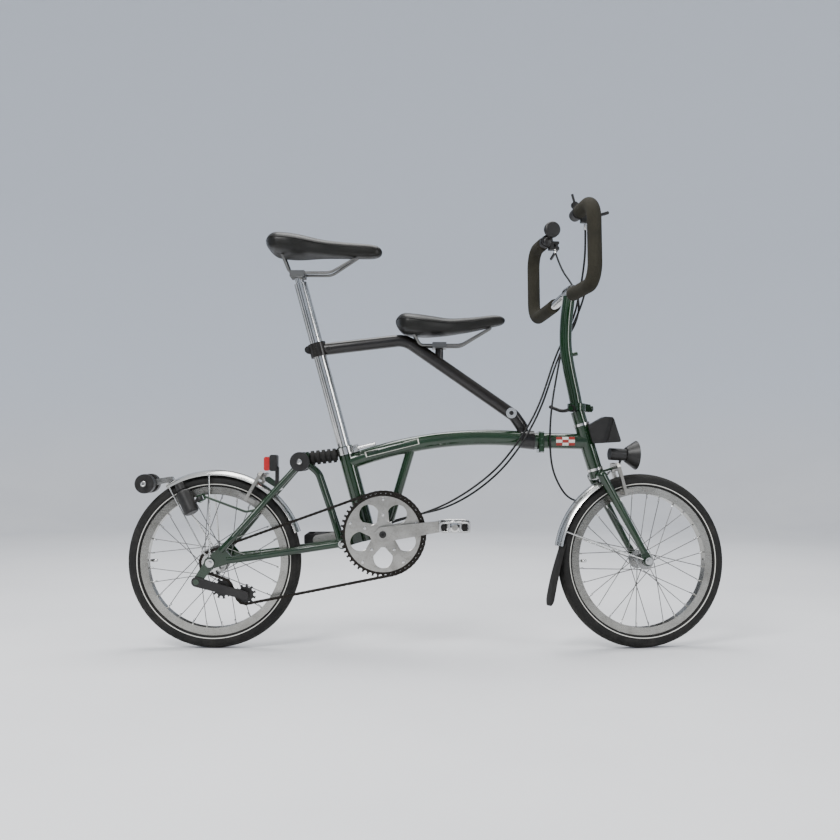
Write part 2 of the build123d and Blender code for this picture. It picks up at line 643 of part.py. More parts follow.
def second_seat_bar():
    """Black bar from a clamp on the seat pillar to a foot clamped on the main tube."""
    clamp_x, _, clamp_z = seat_point(728)
    bend = (52, 0, 753)
    lower = (320, 0, 566)
    foot = (338, 0, 540)
    bar = bent_bar([(clamp_x + 10, 0, clamp_z + 1), bend, lower, foot], SECOND_BAR_RADIUS, [60, 22])
    up = Vector(*SEAT_UP)
    centre = Vector(*seat_point(728))
    bar += rod(centre - up * 17, centre + up * 17, PILLAR_RADIUS + 6)
    bar += link([(clamp_x - 24, clamp_z, 9), (clamp_x, clamp_z, 14)], -9, 9)
    cuff = main_arc(MAIN_TUBE_RADIUS + 4) & (Pos(352, 0, 508) * Box(34, 80, 80))
    bar += cuff
    bar += rod((338, 0, 545), (344, 0, 508), SECOND_BAR_RADIUS - 1)
    bar -= main_arc(MAIN_TUBE_RADIUS)
    bar -= rod(centre - up * 30, centre + up * 30, PILLAR_RADIUS + RUNNING_FIT)
    bar += rod((SECOND_POST_X, 0, 696), (SECOND_POST_X, 0, 731), 10)
    bolts = [
        cross_disc(312, 572, 13, -SECOND_BAR_RADIUS - 3, -SECOND_BAR_RADIUS + 1.5),
        cross_disc(clamp_x + 27, clamp_z + 2, 5, -SECOND_BAR_RADIUS - 3, -SECOND_BAR_RADIUS + 1.5),
        cross_disc(clamp_x - 26, clamp_z, 4, -12, -9),
    ]
    bar -= bolts
    return [bar] + bolts


def second_saddle_rails():
    """Rails of the second saddle and the cradle that clamps them to the bar."""
    cover = saddle_body(SECOND_SADDLE_REAR_X, SECOND_SADDLE)
    rails = [saddle_rail(side, SECOND_SADDLE_REAR_X, 738, 782, 774) - cover for side in (-1, 1)]
    return [saddle_clamp(SECOND_POST_X, 738) - rails[0] - rails[1]] + rails


def second_saddle():
    """Second saddle."""
    return [saddle_body(SECOND_SADDLE_REAR_X, SECOND_SADDLE)]


def seat_pillar():
    """Telescoping pillar tube with its closed upper end."""
    top = Vector(*seat_point(PILLAR_TOP))
    foot = top - PILLAR_LENGTH * Vector(*SEAT_UP)
    pillar = rod(tuple(foot), tuple(top), PILLAR_RADIUS)
    pillar -= rod(tuple(foot), tuple(top - 6 * Vector(*SEAT_UP)), PILLAR_RADIUS - 1.6)
    pillar += rod(tuple(top), seat_point(PILLAR_TOP + 13), 11)
    return [pillar]


def saddle_rails():
    """Rails of the main saddle, their cradle and the collar under it."""
    cover = saddle_body(SADDLE_REAR_X, MAIN_SADDLE)
    rails = [saddle_rail(side, SADDLE_REAR_X, 916, 962, 966) - cover for side in (-1, 1)]
    x, _, z = seat_point(PILLAR_TOP + 20)
    cradle = Pos(x, 0, 914) * Box(36, 56, 15) - seat_pillar()[0]
    cradle -= rails
    return [cradle] + rails


def main_saddle():
    """Main saddle."""
    return [saddle_body(SADDLE_REAR_X, MAIN_SADDLE)]


# ================================================================== front frame, fork and post
def front_frame():
    """Front half of the frame: hinge plate, short tube and head tube."""
    rear_bands, front_bands = hinge_bands()
    frame = hinge_plate(HINGE_X + 0.2, HINGE_X + HINGE_PLATE, front_bands) - knuckle_relief(rear_bands)
    frame += rod((HINGE_X + HINGE_PLATE - 1, 0, HINGE_Z + 3), (HEAD_X - 6, 0, HINGE_Z + 1), MAIN_TUBE_RADIUS)
    hollow = MAIN_TUBE_RADIUS - TUBE_WALL - 1
    frame -= rod((HINGE_X - 5, 0, HINGE_Z + 3), (HEAD_X - 26, 0, HINGE_Z + 1), hollow)
    low, high = head_point(HEAD_Z - HEAD_TUBE_HALF), head_point(HEAD_Z + HEAD_TUBE_HALF)
    frame += rod(low, high, HEAD_TUBE_RADIUS)
    below, above = head_point(HEAD_Z - HEAD_TUBE_HALF - 20), head_point(HEAD_Z + HEAD_TUBE_HALF + 20)
    frame -= rod(below, above, HEAD_TUBE_RADIUS - HEAD_TUBE_WALL)
    return [frame]


def headset_bearings():
    """Bearing cups at both ends of the head tube."""
    rings = []
    bore = STEERER_RADIUS + RUNNING_FIT
    for side in (-1, 1):
        end = Vector(*head_point(HEAD_Z + side * HEAD_TUBE_HALF))
        up = Vector(*HEAD_UP) * side
        cup = rod(tuple(end), tuple(end + up * 6), HEAD_TUBE_RADIUS + 1.5, bore)
        rings.append(cup + rod(tuple(end - up * 10), tuple(end), HEAD_TUBE_RADIUS - HEAD_TUBE_WALL, bore))
    return rings


def luggage_block():
    """Trapezoidal carrier block in front of the head tube."""
    outline = make_face(Polyline((498, 540), (539, 563), (560, 562), (579, 501), (510, 497), close=True))
    block = fillet(plate(outline, -26, 26).edges().filter_by(Axis.Y), 4)
    low, high = head_point(HEAD_Z - 90), head_point(HEAD_Z + 90)
    block -= rod(low, high, HEAD_TUBE_RADIUS)
    for side in (-1, 1):
        block -= Pos(548, side * 26, 532) * Rot(0, 16, 0) * Box(12, 10, 90)
    return [block]


def frame_hinge_lever():
    """Clamp bolt and lever on the left edge of the frame hinge."""
    y = frame_lever_y()
    knob = cross_disc(HINGE_X - 5, HINGE_Z, 9, y, y + 14, 4.0 + RUNNING_FIT)
    blade = rod((HINGE_X - 11, y + 9, HINGE_Z), (HINGE_X - 80, y + 7, HINGE_Z + 8), 5)
    return [knob + blade]


def frame_lever_y():
    """Inner face of the frame hinge lever."""
    return MAIN_TUBE_RADIUS + 9 + 9


def hinge_clamp():
    """Clamp plate and bolt fixed to the rear hinge plate's left edge."""
    edge = MAIN_TUBE_RADIUS + 9
    jaw = Pos(HINGE_X - 5, edge + 4.3, HINGE_Z) * Box(18, 7, 34)
    bolt = cross_disc(HINGE_X - 5, HINGE_Z, 4, edge - 4, frame_lever_y() + 18)
    return [jaw + bolt]


def fork():
    """Steerer, crown, tapered blades and dropouts, with the lower half of the post's hinge."""
    bottom = head_point(414)
    top = head_point(STEM_HINGE_Z - 9)
    body = rod(bottom, top, STEERER_RADIUS)
    race = head_point(HEAD_Z - HEAD_TUBE_HALF - 6.2)
    body += rod(bottom, race, 19)
    body += rod(head_point(HEAD_Z + HEAD_TUBE_HALF + 6.2), top, 17)
    for side in (-1, 1):
        shoulder = (head_point(418)[0], side * CROWN_HALF, 418)
        body += rod(head_point(418), shoulder, 11)
        tip_y = side * (FRONT_DROPOUT_GAP / 2 + 4)
        tip = (FRONT_AXLE_X - 8, tip_y, AXLE_Z + 20)
        body += taper(shoulder, tip, 11.5, 7.5)
        body += Pos(*shoulder) * Sphere(11.5)
        low = FRONT_DROPOUT_GAP / 2
        stations = (low, low + DROPOUT_PLATE) if side > 0 else (-low - DROPOUT_PLATE, -low)
        body += link([(FRONT_AXLE_X, AXLE_Z, 12), (FRONT_AXLE_X - 12, AXLE_Z + 30, 7)], *stations)
        outside = side * (low + DROPOUT_PLATE)
        wall = sorted((outside, outside + side * 12))
        body -= cross_disc(FRONT_AXLE_X, AXLE_Z, 11, *wall)
        inside = sorted((side * low, side * (low - 8)))
        body -= cross_disc(FRONT_AXLE_X, AXLE_Z, 26, *inside)
    leaf = hinge_leaf(STEM_HINGE_Z - 9, STEM_HINGE_Z - 0.2, ((-20, -8.3), (8.3, 20)))
    body += leaf - stem_relief(((-8, 8),))
    body -= cross_disc(FRONT_AXLE_X, AXLE_Z, FRONT_AXLE_RADIUS, -60, 60)
    pivot = polar(FRONT_AXLE_X, CALIPER_REACH, FRONT_CALIPER_ANGLE)
    back = (pivot[0] - 46, 0, pivot[2] - 46 * tan(radians(15)))
    body += rod(pivot_ahead(pivot, 12), back, 3.2)
    return [steer(body)]


def pivot_ahead(pivot, distance):
    """Point in front of the front brake's pivot along its bolt."""
    angle = radians(FRONT_CALIPER_ANGLE)
    return (pivot[0] + distance * sin(angle), 0, pivot[2] - distance * cos(angle))


def stem_plane():
    """Plane of the post hinge: local X points at the pin, Y lies along it and Z is up."""
    return Plane(origin=head_point(STEM_HINGE_Z), x_dir=(1, 1, 0), z_dir=(0, 0, 1))


def hinge_leaf(z_low, z_high, bands):
    """Half of the post hinge: a plate under or over the parting plane, and its knuckles."""
    place = stem_plane()
    low, high = z_low - STEM_HINGE_Z, z_high - STEM_HINGE_Z
    reach = STEM_PIN_OFFSET - 9
    outline = Circle(22) + Pos(reach / 2, 0) * Rectangle(reach, 40)
    leaf = Pos(0, 0, low) * extrude(outline, amount=high - low)
    for y_low, y_high in bands:
        width = y_high - y_low
        centre = (y_low + y_high) / 2
        leaf += Pos(STEM_PIN_OFFSET - 7, centre, (low + high) / 2) * Box(12, width, high - low)
        leaf += Pos(STEM_PIN_OFFSET, centre, 0) * Rot(90, 0, 0) * Cylinder(6.5, width)
    leaf -= Pos(STEM_PIN_OFFSET, 0, 0) * Rot(90, 0, 0) * Cylinder(3.0 + RUNNING_FIT, 60)
    return place * leaf


def stem_relief(bands):
    """Space round the other half's knuckles of the post hinge."""
    relief = Part()
    for y_low, y_high in bands:
        knuckle = Rot(90, 0, 0) * Cylinder(6.9, y_high - y_low + 0.6)
        relief += Pos(STEM_PIN_OFFSET, (y_low + y_high) / 2, 0) * knuckle
    return stem_plane() * relief


def post_hinge_pin():
    """Pin of the post hinge."""
    return stem_plane() * (Pos(STEM_PIN_OFFSET, 0, 0) * Rot(90, 0, 0) * Cylinder(3.0, 42))


def front_axle():
    """Front axle with its cones and nuts, and the pin of the post hinge's lower half."""
    nut = FRONT_DROPOUT_GAP / 2 + DROPOUT_PLATE
    axle = cross_disc(FRONT_AXLE_X, AXLE_Z, FRONT_AXLE_RADIUS, -nut - 14, nut + 14)
    hub_face = FRONT_DROPOUT_GAP / 2 - 4
    for side in (-1, 1):
        axle += cross_disc(FRONT_AXLE_X, AXLE_Z, 8, *sorted((side * (hub_face + 0.3), side * (hub_face + 4))))
        axle += cross_disc(FRONT_AXLE_X, AXLE_Z, 9, *sorted((side * nut, side * (nut + 8))))
    return [steer(axle), steer(post_hinge_pin())]


def front_mudguard():
    """Front mudguard strip behind the fork and its two wire stays."""
    strip = guard(FRONT_AXLE_X, FRONT_GUARD_ARC)
    stays = []
    nut = FRONT_DROPOUT_GAP / 2 + DROPOUT_PLATE
    for side in (-1, 1):
        top = polar(FRONT_AXLE_X, TYRE_RADIUS - 1, 160, side * 25.5)
        end = polar(FRONT_AXLE_X, 14, 160, side * (nut + 2))
        stays.append(rod(end, top, 1.9))
    return [steer(strip)] + [steer(stay) for stay in stays]


def front_mudflap():
    """Rubber flap at the lower end of the front mudguard."""
    radius = TYRE_RADIUS - TYRE_WIDTH / 2 + GUARD_RADIUS + GUARD_THICKNESS + 0.4
    top = polar(FRONT_AXLE_X, radius + 1.4, 168)
    foot = (FRONT_AXLE_X - 238, 0, 106)
    along = Vector(*foot) - Vector(*top)
    centre = (Vector(*foot) + Vector(*top)) * 0.5
    place = Plane(origin=centre, x_dir=(0, 1, 0), z_dir=Vector(0, 1, 0).cross(along))
    half = along.length / 2
    corners = [(-21, half), (21, half), (30, 8 - half), (22, -half), (-22, -half), (-30, 8 - half)]
    outline = make_face(Polyline(*corners, close=True))
    flap = place * extrude(outline, amount=1.2, both=True)
    return [steer(flap)]


def caliper_plane(axle_x, angle, facing):
    """Plane of a brake: local X is lateral, Y points away from the axle; facing is 1 to the front."""
    reach = radians(angle)
    normal = (facing * sin(reach), 0, -facing * cos(reach))
    return Plane(origin=polar(axle_x, CALIPER_REACH, angle), x_dir=(0, facing, 0), z_dir=normal)


def caliper_arm(place, side, low):
    """One brake arm: eye on the bolt, a shoulder over the tyre, and the pad beside the rim."""
    reach = BEAD_RADIUS - 1.5 - CALIPER_REACH
    arm_x = 33.0
    outer, inner, low_end = side * (arm_x + 4), side * (arm_x - 5), reach - 6
    outline = make_face(Polyline(
        (-side * 6, 9), (side * 30, 12), (side * (arm_x + 6), 2), (outer, low_end), (inner, low_end),
        (inner, -9), (side * 22, -5), (-side * 6, -8), close=True))
    outline += Circle(9)
    arm = Pos(0, 0, low) * extrude(outline, amount=CALIPER_ARM)
    arm -= Cylinder(3.2 + RUNNING_FIT, 60)
    pad_inner = RIM_WIDTH / 2 + PAD_GAP
    pad_middle = low + CALIPER_ARM / 2
    pad = Pos(side * (pad_inner + 5), reach, pad_middle) * Box(10, 9, 44)
    holder = Pos(side * (pad_inner + 10 + 3.5), reach, pad_middle) * Box(9.5, 7, 10)
    return place * (arm + pad + holder)


def front_caliper(side):
    """Front brake arm on one side: -1 is the right."""
    place = caliper_plane(FRONT_AXLE_X, FRONT_CALIPER_ANGLE, 1)
    low = 0.3 if side > 0 else -CALIPER_ARM - 0.3
    return [steer(caliper_arm(place, side, low))]


def rear_caliper(side):
    """Rear brake arm on one side: -1 is the right."""
    place = caliper_plane(REAR_AXLE_X, REAR_CALIPER_ANGLE, 1)
    low = 0.3 if side > 0 else -CALIPER_ARM - 0.3
    return [caliper_arm(place, side, low)]


def front_lamp():
    """Front lamp: bracket, body, flared shade and lens."""
    pivot = pivot_ahead(polar(FRONT_AXLE_X, CALIPER_REACH, FRONT_CALIPER_ANGLE), 10.5)
    foot = pivot_ahead(polar(FRONT_AXLE_X, CALIPER_REACH, FRONT_CALIPER_ANGLE), 8.6)
    bracket = rod(foot, pivot, 7.5, 3.2)
    bracket += bent_bar([(pivot[0] - 1, 0, pivot[2] + 5), (pivot[0] + 4, 0, 459), (592, 0, 470)], 3.0, [6])
    body = rod((556, 0, 472), (598, 0, 470), 15)
    shade = taper((598, 0, 470), (624, 0, 469), 19, 36)
    hollow = taper((601, 0, 470), (625, 0, 469), 17, 35)
    lens = taper((612, 0, 469.5), (616, 0, 469.4), 25.1, 28.1)
    lamp = body + shade - hollow
    return [steer(lamp), steer(bracket - body - shade), steer(lens)]


def post_path():
    """Centre line of the curved handlebar post, straight ahead."""
    base = head_point(STEM_HINGE_Z)
    return [
        (base[0], 0, STEM_HINGE_Z + 8), (base[0] - 5, 0, 622), (457, 0, 676), (448, 0, 735),
        (450, 0, 795), (BAR_CLAMP[0] - 3, 0, BAR_CLAMP[1] - 12),
    ]


def handlebar_post():
    """Upper hinge leaf, curved post and the bar clamp at its top."""
    points = post_path()
    post = bent_bar(points, POST_RADIUS, cable_bends(points), POST_RADIUS - 1.8)
    leaf = hinge_leaf(STEM_HINGE_Z + 0.2, STEM_HINGE_Z + 9, ((-8, 8),))
    leaf -= stem_relief(((-20, -8.3), (8.3, 20)))
    collar = cross_disc(*BAR_CLAMP, BAR_RADIUS + 4.5, -19, 19)
    post += collar + leaf
    post += rod((BAR_CLAMP[0] - 3.4, 0, BAR_CLAMP[1] - 14), (BAR_CLAMP[0], 0, BAR_CLAMP[1]), POST_RADIUS - 1)
    catch = rod((461, 0, 716), (478, 0, 720), 5)
    post += catch
    post -= cross_disc(*BAR_CLAMP, BAR_RADIUS, -25, 25)
    return [steer(post)]


def bar_path(side):
    """Half of the handlebar, from the clamp round its loop to the inner end."""
    x, z = BAR_CLAMP
    back = x - BAR_SETBACK
    low, high = z - BAR_DROP, z + BAR_RISE
    return [
        (x, 0, z), (x, side * 34, z), (back + 2, side * 80, low + 6), (back, side * BAR_HALF_WIDTH, low),
        (back, side * BAR_HALF_WIDTH, high), (back, side * BAR_END_Y, high),
    ]


def bar_tube(side, radius):
    """Round bar along half of the handlebar."""
    return bent_bar(bar_path(side), radius, [30, 38, 46, 46])


def handlebar():
    """Handlebar tube with two upright loops, open at its ends."""
    bar = bar_tube(1, BAR_RADIUS) + bar_tube(-1, BAR_RADIUS)
    bar -= bar_tube(1, BAR_RADIUS - 1.8)
    bar -= bar_tube(-1, BAR_RADIUS - 1.8)
    return [steer(bar)]


def handlebar_grips():
    """Foam sleeves on the two loops."""
    grips = []
    x, z = BAR_CLAMP
    for side in (-1, 1):
        sleeve = bar_tube(side, GRIP_RADIUS) - bar_tube(side, BAR_RADIUS)
        lower = Pos(x, side * 35, z - 20) * Box(120, 80, 110)
        upper = Pos(x, side * 90, z + BAR_RISE) * Box(120, 120, 110)
        grips.append(sleeve - lower - upper)
    return [steer(grip) for grip in grips]


def lever_bracket(side):
    """Brake lever bracket clamped near the inner end of the bar's upper run."""
    x, z = BAR_CLAMP[0] - BAR_SETBACK, BAR_CLAMP[1] + BAR_RISE
    ring = rod((x, side * 122, z), (x, side * 138, z), BAR_RADIUS + 4)
    nose = Pos(x + 22, side * 130, z - 10) * Box(26, 16, 22)
    slot = Pos(x + 34, side * 130, z - 10) * Box(26, 30, 8.4)
    bracket = ring + nose - slot
    bracket -= rod((x, side * 100, z), (x, side * 150, z), BAR_RADIUS)
    pin = Pos(x + 28, side * 130, z - 10) * Cylinder(2.5, 22)
    return bracket + pin


def lever_brackets():
    """Both brake lever brackets."""
    return [steer(lever_bracket(side)) for side in (-1, 1)]


def brake_lever(side):
    """Brake lever pivoted in its bracket and reaching outwards in front of the grip."""
    x, z = BAR_CLAMP[0] - BAR_SETBACK + 28, BAR_CLAMP[1] + BAR_RISE - 10
    eye = Pos(x, side * 130, z) * Cylinder(6, 8)
    points = [(x + 3, side * 130, z), (x + 12, side * 150, z), (x + 14, side * 218, z - 12)]
    blade = bent_bar(points, 3.9, [26])
    eye += blade
    eye -= Pos(x, side * 130, z) * Cylinder(2.5 + RUNNING_FIT, 30)
    return [steer(eye)]


def gear_shifter():
    """Thumb shifter on the right upper run: drum and short lever."""
    x, z = BAR_CLAMP[0] - BAR_SETBACK, BAR_CLAMP[1] + BAR_RISE
    drum = z + 25
    lever = rod((x, -110, drum), (x, -116.4, drum), 9)
    lever += rod((x, -113, drum + 3), (x - 6, -112, drum + 27), 3)
    lever -= rod((x, -105, drum), (x, -120, drum), 2.5 + RUNNING_FIT)
    return [steer(lever)]


def shifter_mount():
    """Band and stud that carry the gear shifter."""
    x, z = BAR_CLAMP[0] - BAR_SETBACK, BAR_CLAMP[1] + BAR_RISE
    band = rod((x, -109.7, z), (x, -119.6, z), BAR_RADIUS + 3)
    band += link([(x, z + 12, 7), (x, z + 25, 6)], -119.6, -116.8)
    band += rod((x, -108, z + 25), (x, -119.6, z + 25), 2.5)
    return band - rod((x, -100, z), (x, -130, z), BAR_RADIUS)


def bell():
    """Round bell on the left upper run."""
    x, z = BAR_CLAMP[0] - BAR_SETBACK, BAR_CLAMP[1] + BAR_RISE
    band = rod((x, 109, z), (x, 116, z), BAR_RADIUS + 3)
    band -= rod((x, 100, z), (x, 130, z), BAR_RADIUS)
    dome = rod((x + 8, 86, z + 24), (x + 8, 105, z + 24), 21)
    dome = fillet(dome.edges().filter_by(GeomType.CIRCLE), 6)
    dome += rod((x + 4, 111, z + 11), (x + 6, 102, z + 16), 3)
    return [steer(dome + band - rod((x, 100, z), (x, 130, z), BAR_RADIUS))]


def stem_hinge_lever():
    """Curved clamp lever behind the post hinge."""
    local = [(-29, -2, STEM_BOLT_Z), (-29, 22, STEM_BOLT_Z - 7), (-29, 58, STEM_BOLT_Z + 8)]
    place = stem_plane()
    points = [tuple((place.location * Location(point)).position) for point in local]
    blade = bent_bar(points, 4.4, [40])
    boss = place * (Pos(-29, -3, STEM_BOLT_Z) * Rot(0, 90, 0) * Cylinder(8, 9))
    hole = place * (Pos(-29, -3, STEM_BOLT_Z) * Rot(0, 90, 0) * Cylinder(3.0 + RUNNING_FIT, 30))
    return [steer(blade + boss - hole)]


def stem_clamp():
    """Jaw and bolt of the post hinge, fixed to its lower leaf."""
    place = stem_plane()
    bolt = Pos(-27, -3, STEM_BOLT_Z) * Rot(0, 90, 0) * Cylinder(3.0, 18)
    head = Pos(-35.2, -3, STEM_BOLT_Z) * Rot(0, 90, 0) * Cylinder(5.5, 3)
    return place * (bolt + head)


# ================================================================== rear frame
def rear_frame():
    """Folding rear triangle: lugs, stays, uprights, bridges and dropouts."""
    px, pz = REAR_PIVOT
    inner = REAR_DROPOUT_GAP / 2
    frame = Part()
    for side in (-1, 1):
        frame += cross_disc(px, pz, 12, *sorted((side * 17.4, side * 33)))
        lug = (px - 6, side * 26.6, pz)
        stay = [lug, (-205, side * 31, 239.5), (-300, side * 43, 226), (-375, side * 55, 217)]
        frame += bent_bar(stay, 9, [400, 300])
        crook = (-388, side * 61.5, 241)
        upper = [crook, (-362, side * 61, 268), (-290, side * 38, 352), (-203, side * 22, 450)]
        frame += bent_bar(upper, 7.5, [60, 200])
        foot = (px - 5, side * 25.3, pz + 6)
        upright = [foot, (-131, side * 19, 340), (-160, side * 17, 425), (-196, side * 17, 455)]
        frame += bent_bar(upright, 7.5, [300, 40])
        plate_low, plate_high = sorted((side * inner, side * (inner + DROPOUT_PLATE)))
        frame += link([(REAR_AXLE_X, AXLE_Z, 15), (-368, 219, 9), (-386, 240, 9)], plate_low, plate_high)
        if side < 0:
            frame += link([(REAR_AXLE_X, AXLE_Z, 13), (*TENSIONER_PIVOT, 10)], plate_low, plate_high)
            frame += cross_disc(*TENSIONER_PIVOT, 4.0, plate_low - 8, plate_high)
            frame += cross_disc(*TENSIONER_PIVOT, 7.0, plate_low - 8.4, plate_low - 5.8)
    frame += cross_disc(-202, 453, 9, -31, 31)
    frame += brake_bridge()
    pivot = polar(REAR_AXLE_X, CALIPER_REACH, REAR_CALIPER_ANGLE)
    angle = radians(REAR_CALIPER_ANGLE)
    back = (pivot[0] - 14 * sin(angle), 0, pivot[2] + 14 * cos(angle))
    front = (pivot[0] + 16 * sin(angle), 0, pivot[2] - 16 * cos(angle))
    frame += rod(front, back, 3.2)
    frame += suspension_plate()
    frame += cross_disc(-202, 453, 5.0, -49, 49)
    frame -= cross_disc(REAR_AXLE_X, AXLE_Z, REAR_AXLE_RADIUS, -70, 70)
    frame -= cross_disc(px, pz, REAR_PIVOT_RADIUS + RUNNING_FIT, -40, 40)
    frame -= cross_disc(REAR_AXLE_X, AXLE_Z, 38, -inner, inner)
    for side in (-1, 1):
        outside = sorted((side * (inner + DROPOUT_PLATE), side * (inner + DROPOUT_PLATE + 14)))
        frame -= cross_disc(REAR_AXLE_X, AXLE_Z, 13, *outside)
        frame -= cross_disc(px, pz, 9.6, *sorted((side * 33.4, side * 42)))
    return [frame]


def brake_bridge():
    """Bridge between the seat stays and the lug that holds the rear brake's bolt."""
    pivot = polar(REAR_AXLE_X, CALIPER_REACH, REAR_CALIPER_ANGLE)
    return cross_disc(-257, 388, 6, -31, 31) + link([(pivot[0] + 14, pivot[2] - 7, 7), (-257, 391, 6)], -6, 6)


def suspension_plate():
    """Plate at the top of the rear frame that the rubber block is bolted to."""
    return Pos(-184, 0, 461) * Rot(0, -6.4, 0) * Box(6, 42, 32)


def suspension_block():
    """Ribbed rubber block between the rear frame and the seat tube."""
    start, end = Vector(-180.6, 0, 461.5), Vector(-114.2, 0, 469)
    along = (end - start).normalized()
    length = (end - start).length
    block = rod(tuple(start), tuple(end), 13)
    ribs = 5
    for index in range(ribs):
        middle = start + along * (length * (index + 0.5) / ribs)
        block += rod(tuple(middle - along * 3.6), tuple(middle + along * 3.6), 17.5)
    seat = rod(seat_point(SEAT_TUBE_BOTTOM), seat_point(SEAT_TUBE_TOP), PILLAR_RADIUS + SEAT_TUBE_WALL + 4.5)
    return [block - seat - suspension_plate()]


def rear_mudguard():
    """Rear mudguard strip with two pairs of wire stays to the axle."""
    strip = guard(REAR_AXLE_X, REAR_GUARD_ARC)
    outer = REAR_DROPOUT_GAP / 2 + DROPOUT_PLATE
    stays = []
    for side in (-1, 1):
        for angle in (93.0, 121.0):
            top = polar(REAR_AXLE_X, TYRE_RADIUS - 1, angle, side * 25.5)
            end = polar(REAR_AXLE_X, 13.5, angle, side * (outer + 3.2))
            stays.append(rod(end, top, 1.9))
    return [strip] + stays


def roller_bracket():
    """Bracket behind the rear mudguard that carries the rear rollers' axle."""
    hub_point = polar(REAR_AXLE_X, 251, 131.5)
    foot = polar(REAR_AXLE_X, 226.5, 119)
    strap = link([(hub_point[0], hub_point[2], 8), (foot[0], foot[2], 7)], -9, 9)
    strap += cross_disc(hub_point[0], hub_point[2], 5.0, -40, 40)
    ring = TYRE_RADIUS - TYRE_WIDTH / 2 + GUARD_RADIUS + GUARD_THICKNESS + 0.2
    return strap - cross_disc(REAR_AXLE_X, AXLE_Z, ring, -40, 40)


def rear_rollers():
    """Pair of rollers behind the rear mudguard."""
    x, _, z = polar(REAR_AXLE_X, 251, 131.5)
    bore = 5.0 + RUNNING_FIT
    return [cross_disc(x, z, ROLLER_RADIUS, *sorted((side * 14, side * 34)), bore) for side in (-1, 1)]


def upper_rollers():
    """Pair of rollers at the top of the rear frame."""
    rollers = []
    for side in (-1, 1):
        span = sorted((side * 34, side * 47))
        rollers.append(cross_disc(-202, 453, ROLLER_RADIUS, *span, 5.0 + RUNNING_FIT))
    return rollers


def rear_lamp():
    """Rear lamp above the mudguard: bracket, case and red lens."""
    bracket = link([(-262, 396, 4), (-262, 438, 4)], -8, 8)
    bracket += link([(-262, 438, 4), (-272, 446, 4)], -8, 8)
    case = fillet((Pos(-270, 0, 450) * Box(18, 34, 40)).edges().filter_by(Axis.Y), 5)
    lens = fillet((Pos(-286, 0, 448) * Box(14, 30, 34)).edges().filter_by(Axis.Y), 5)
    bracket -= case
    bracket -= brake_bridge()
    return [case - lens, lens, bracket]


def rear_axle():
    """Rear axle with locknuts, outer nuts and the free right end."""
    inner = REAR_DROPOUT_GAP / 2
    outer = inner + DROPOUT_PLATE
    axle = cross_disc(REAR_AXLE_X, AXLE_Z, REAR_AXLE_RADIUS, -outer - 18, outer + 18)
    for side in (-1, 1):
        axle += cross_disc(REAR_AXLE_X, AXLE_Z, 9, *sorted((side * (inner - 5), side * inner)))
        axle += cross_disc(REAR_AXLE_X, AXLE_Z, 10, *sorted((side * outer, side * (outer + 8))))
    return [axle]


def dynamo_frame():
    """Axis of the bottle dynamo: head centre, foot centre and unit direction."""
    head = polar(REAR_AXLE_X, 197, 113.5, -34.0)
    foot = polar(REAR_AXLE_X, 127, 111.0, -50.0)
    along = (Vector(*foot) - Vector(*head)).normalized()
    return Vector(*head), Vector(*foot), along


def dynamo():
    """Bottle dynamo: housing, neck and the swinging half of its bracket."""
    head, foot, along = dynamo_frame()
    start = head + along * 13
    body = rod(tuple(start), tuple(foot), DYNAMO_RADIUS)
    body = fillet(body.edges().filter_by(GeomType.CIRCLE), 5)
    body += rod(tuple(head + along * 9.2), tuple(start + along * 2), 9)
    body += rod(tuple(head - along * 9), tuple(head + along * 10), 3)
    return [body + dynamo_ear()]


def dynamo_ear():
    """Eye of the dynamo's bracket, beside the housing."""
    pivot = dynamo_pivot()
    _, _, along = dynamo_frame()
    beside = Vector(0, 1, 0).cross(along).normalized()
    ear = pivot_rod(8, -4.5, 4.5)
    ear += rod(tuple(pivot), tuple(pivot + beside * 18 + Vector(0, 1.5, 0)), 4.2)
    return ear - pivot_rod(3 + RUNNING_FIT, -20, 20)


def dynamo_pivot():
    """Point on the dynamo's swing axis."""
    head, foot, along = dynamo_frame()
    beside = Vector(0, 1, 0).cross(along).normalized()
    return head + along * 50 - beside * 31 + Vector(0, -3, 0)


def pivot_rod(radius, low, high):
    """Rod on the dynamo's swing axis between two stations along it."""
    _, _, along = dynamo_frame()
    pivot = dynamo_pivot()
    return rod(tuple(pivot + along * low), tuple(pivot + along * high), radius)


def dynamo_bracket():
    """Fixed bar from the right seat stay to the dynamo's swing axis."""
    pivot = dynamo_pivot()
    _, _, along = dynamo_frame()
    shift = Vector(0, 1, 0).cross(along).normalized() * -13
    bar = bent_bar([(-303, -44, 338), (-330, -51, 333), tuple(pivot + shift)], 3.0, [14])
    bar += pivot_rod(6, 4.9, 8.5) + pivot_rod(6, -8.5, -4.9) + pivot_rod(3, -8.5, 8.5)
    ends = [pivot - along * 6.7, pivot + along * 6.7]
    for end in ends:
        bar += rod(tuple(end), tuple(end + shift), 1.7)
    return bar + rod(tuple(ends[0] + shift), tuple(ends[1] + shift), 3.2)


def dynamo_roller():
    """Knurled drive roller on the dynamo's shaft."""
    head, _, along = dynamo_frame()
    return [rod(tuple(head - along * 8), tuple(head + along * 8.8), 11, 3 + RUNNING_FIT)]


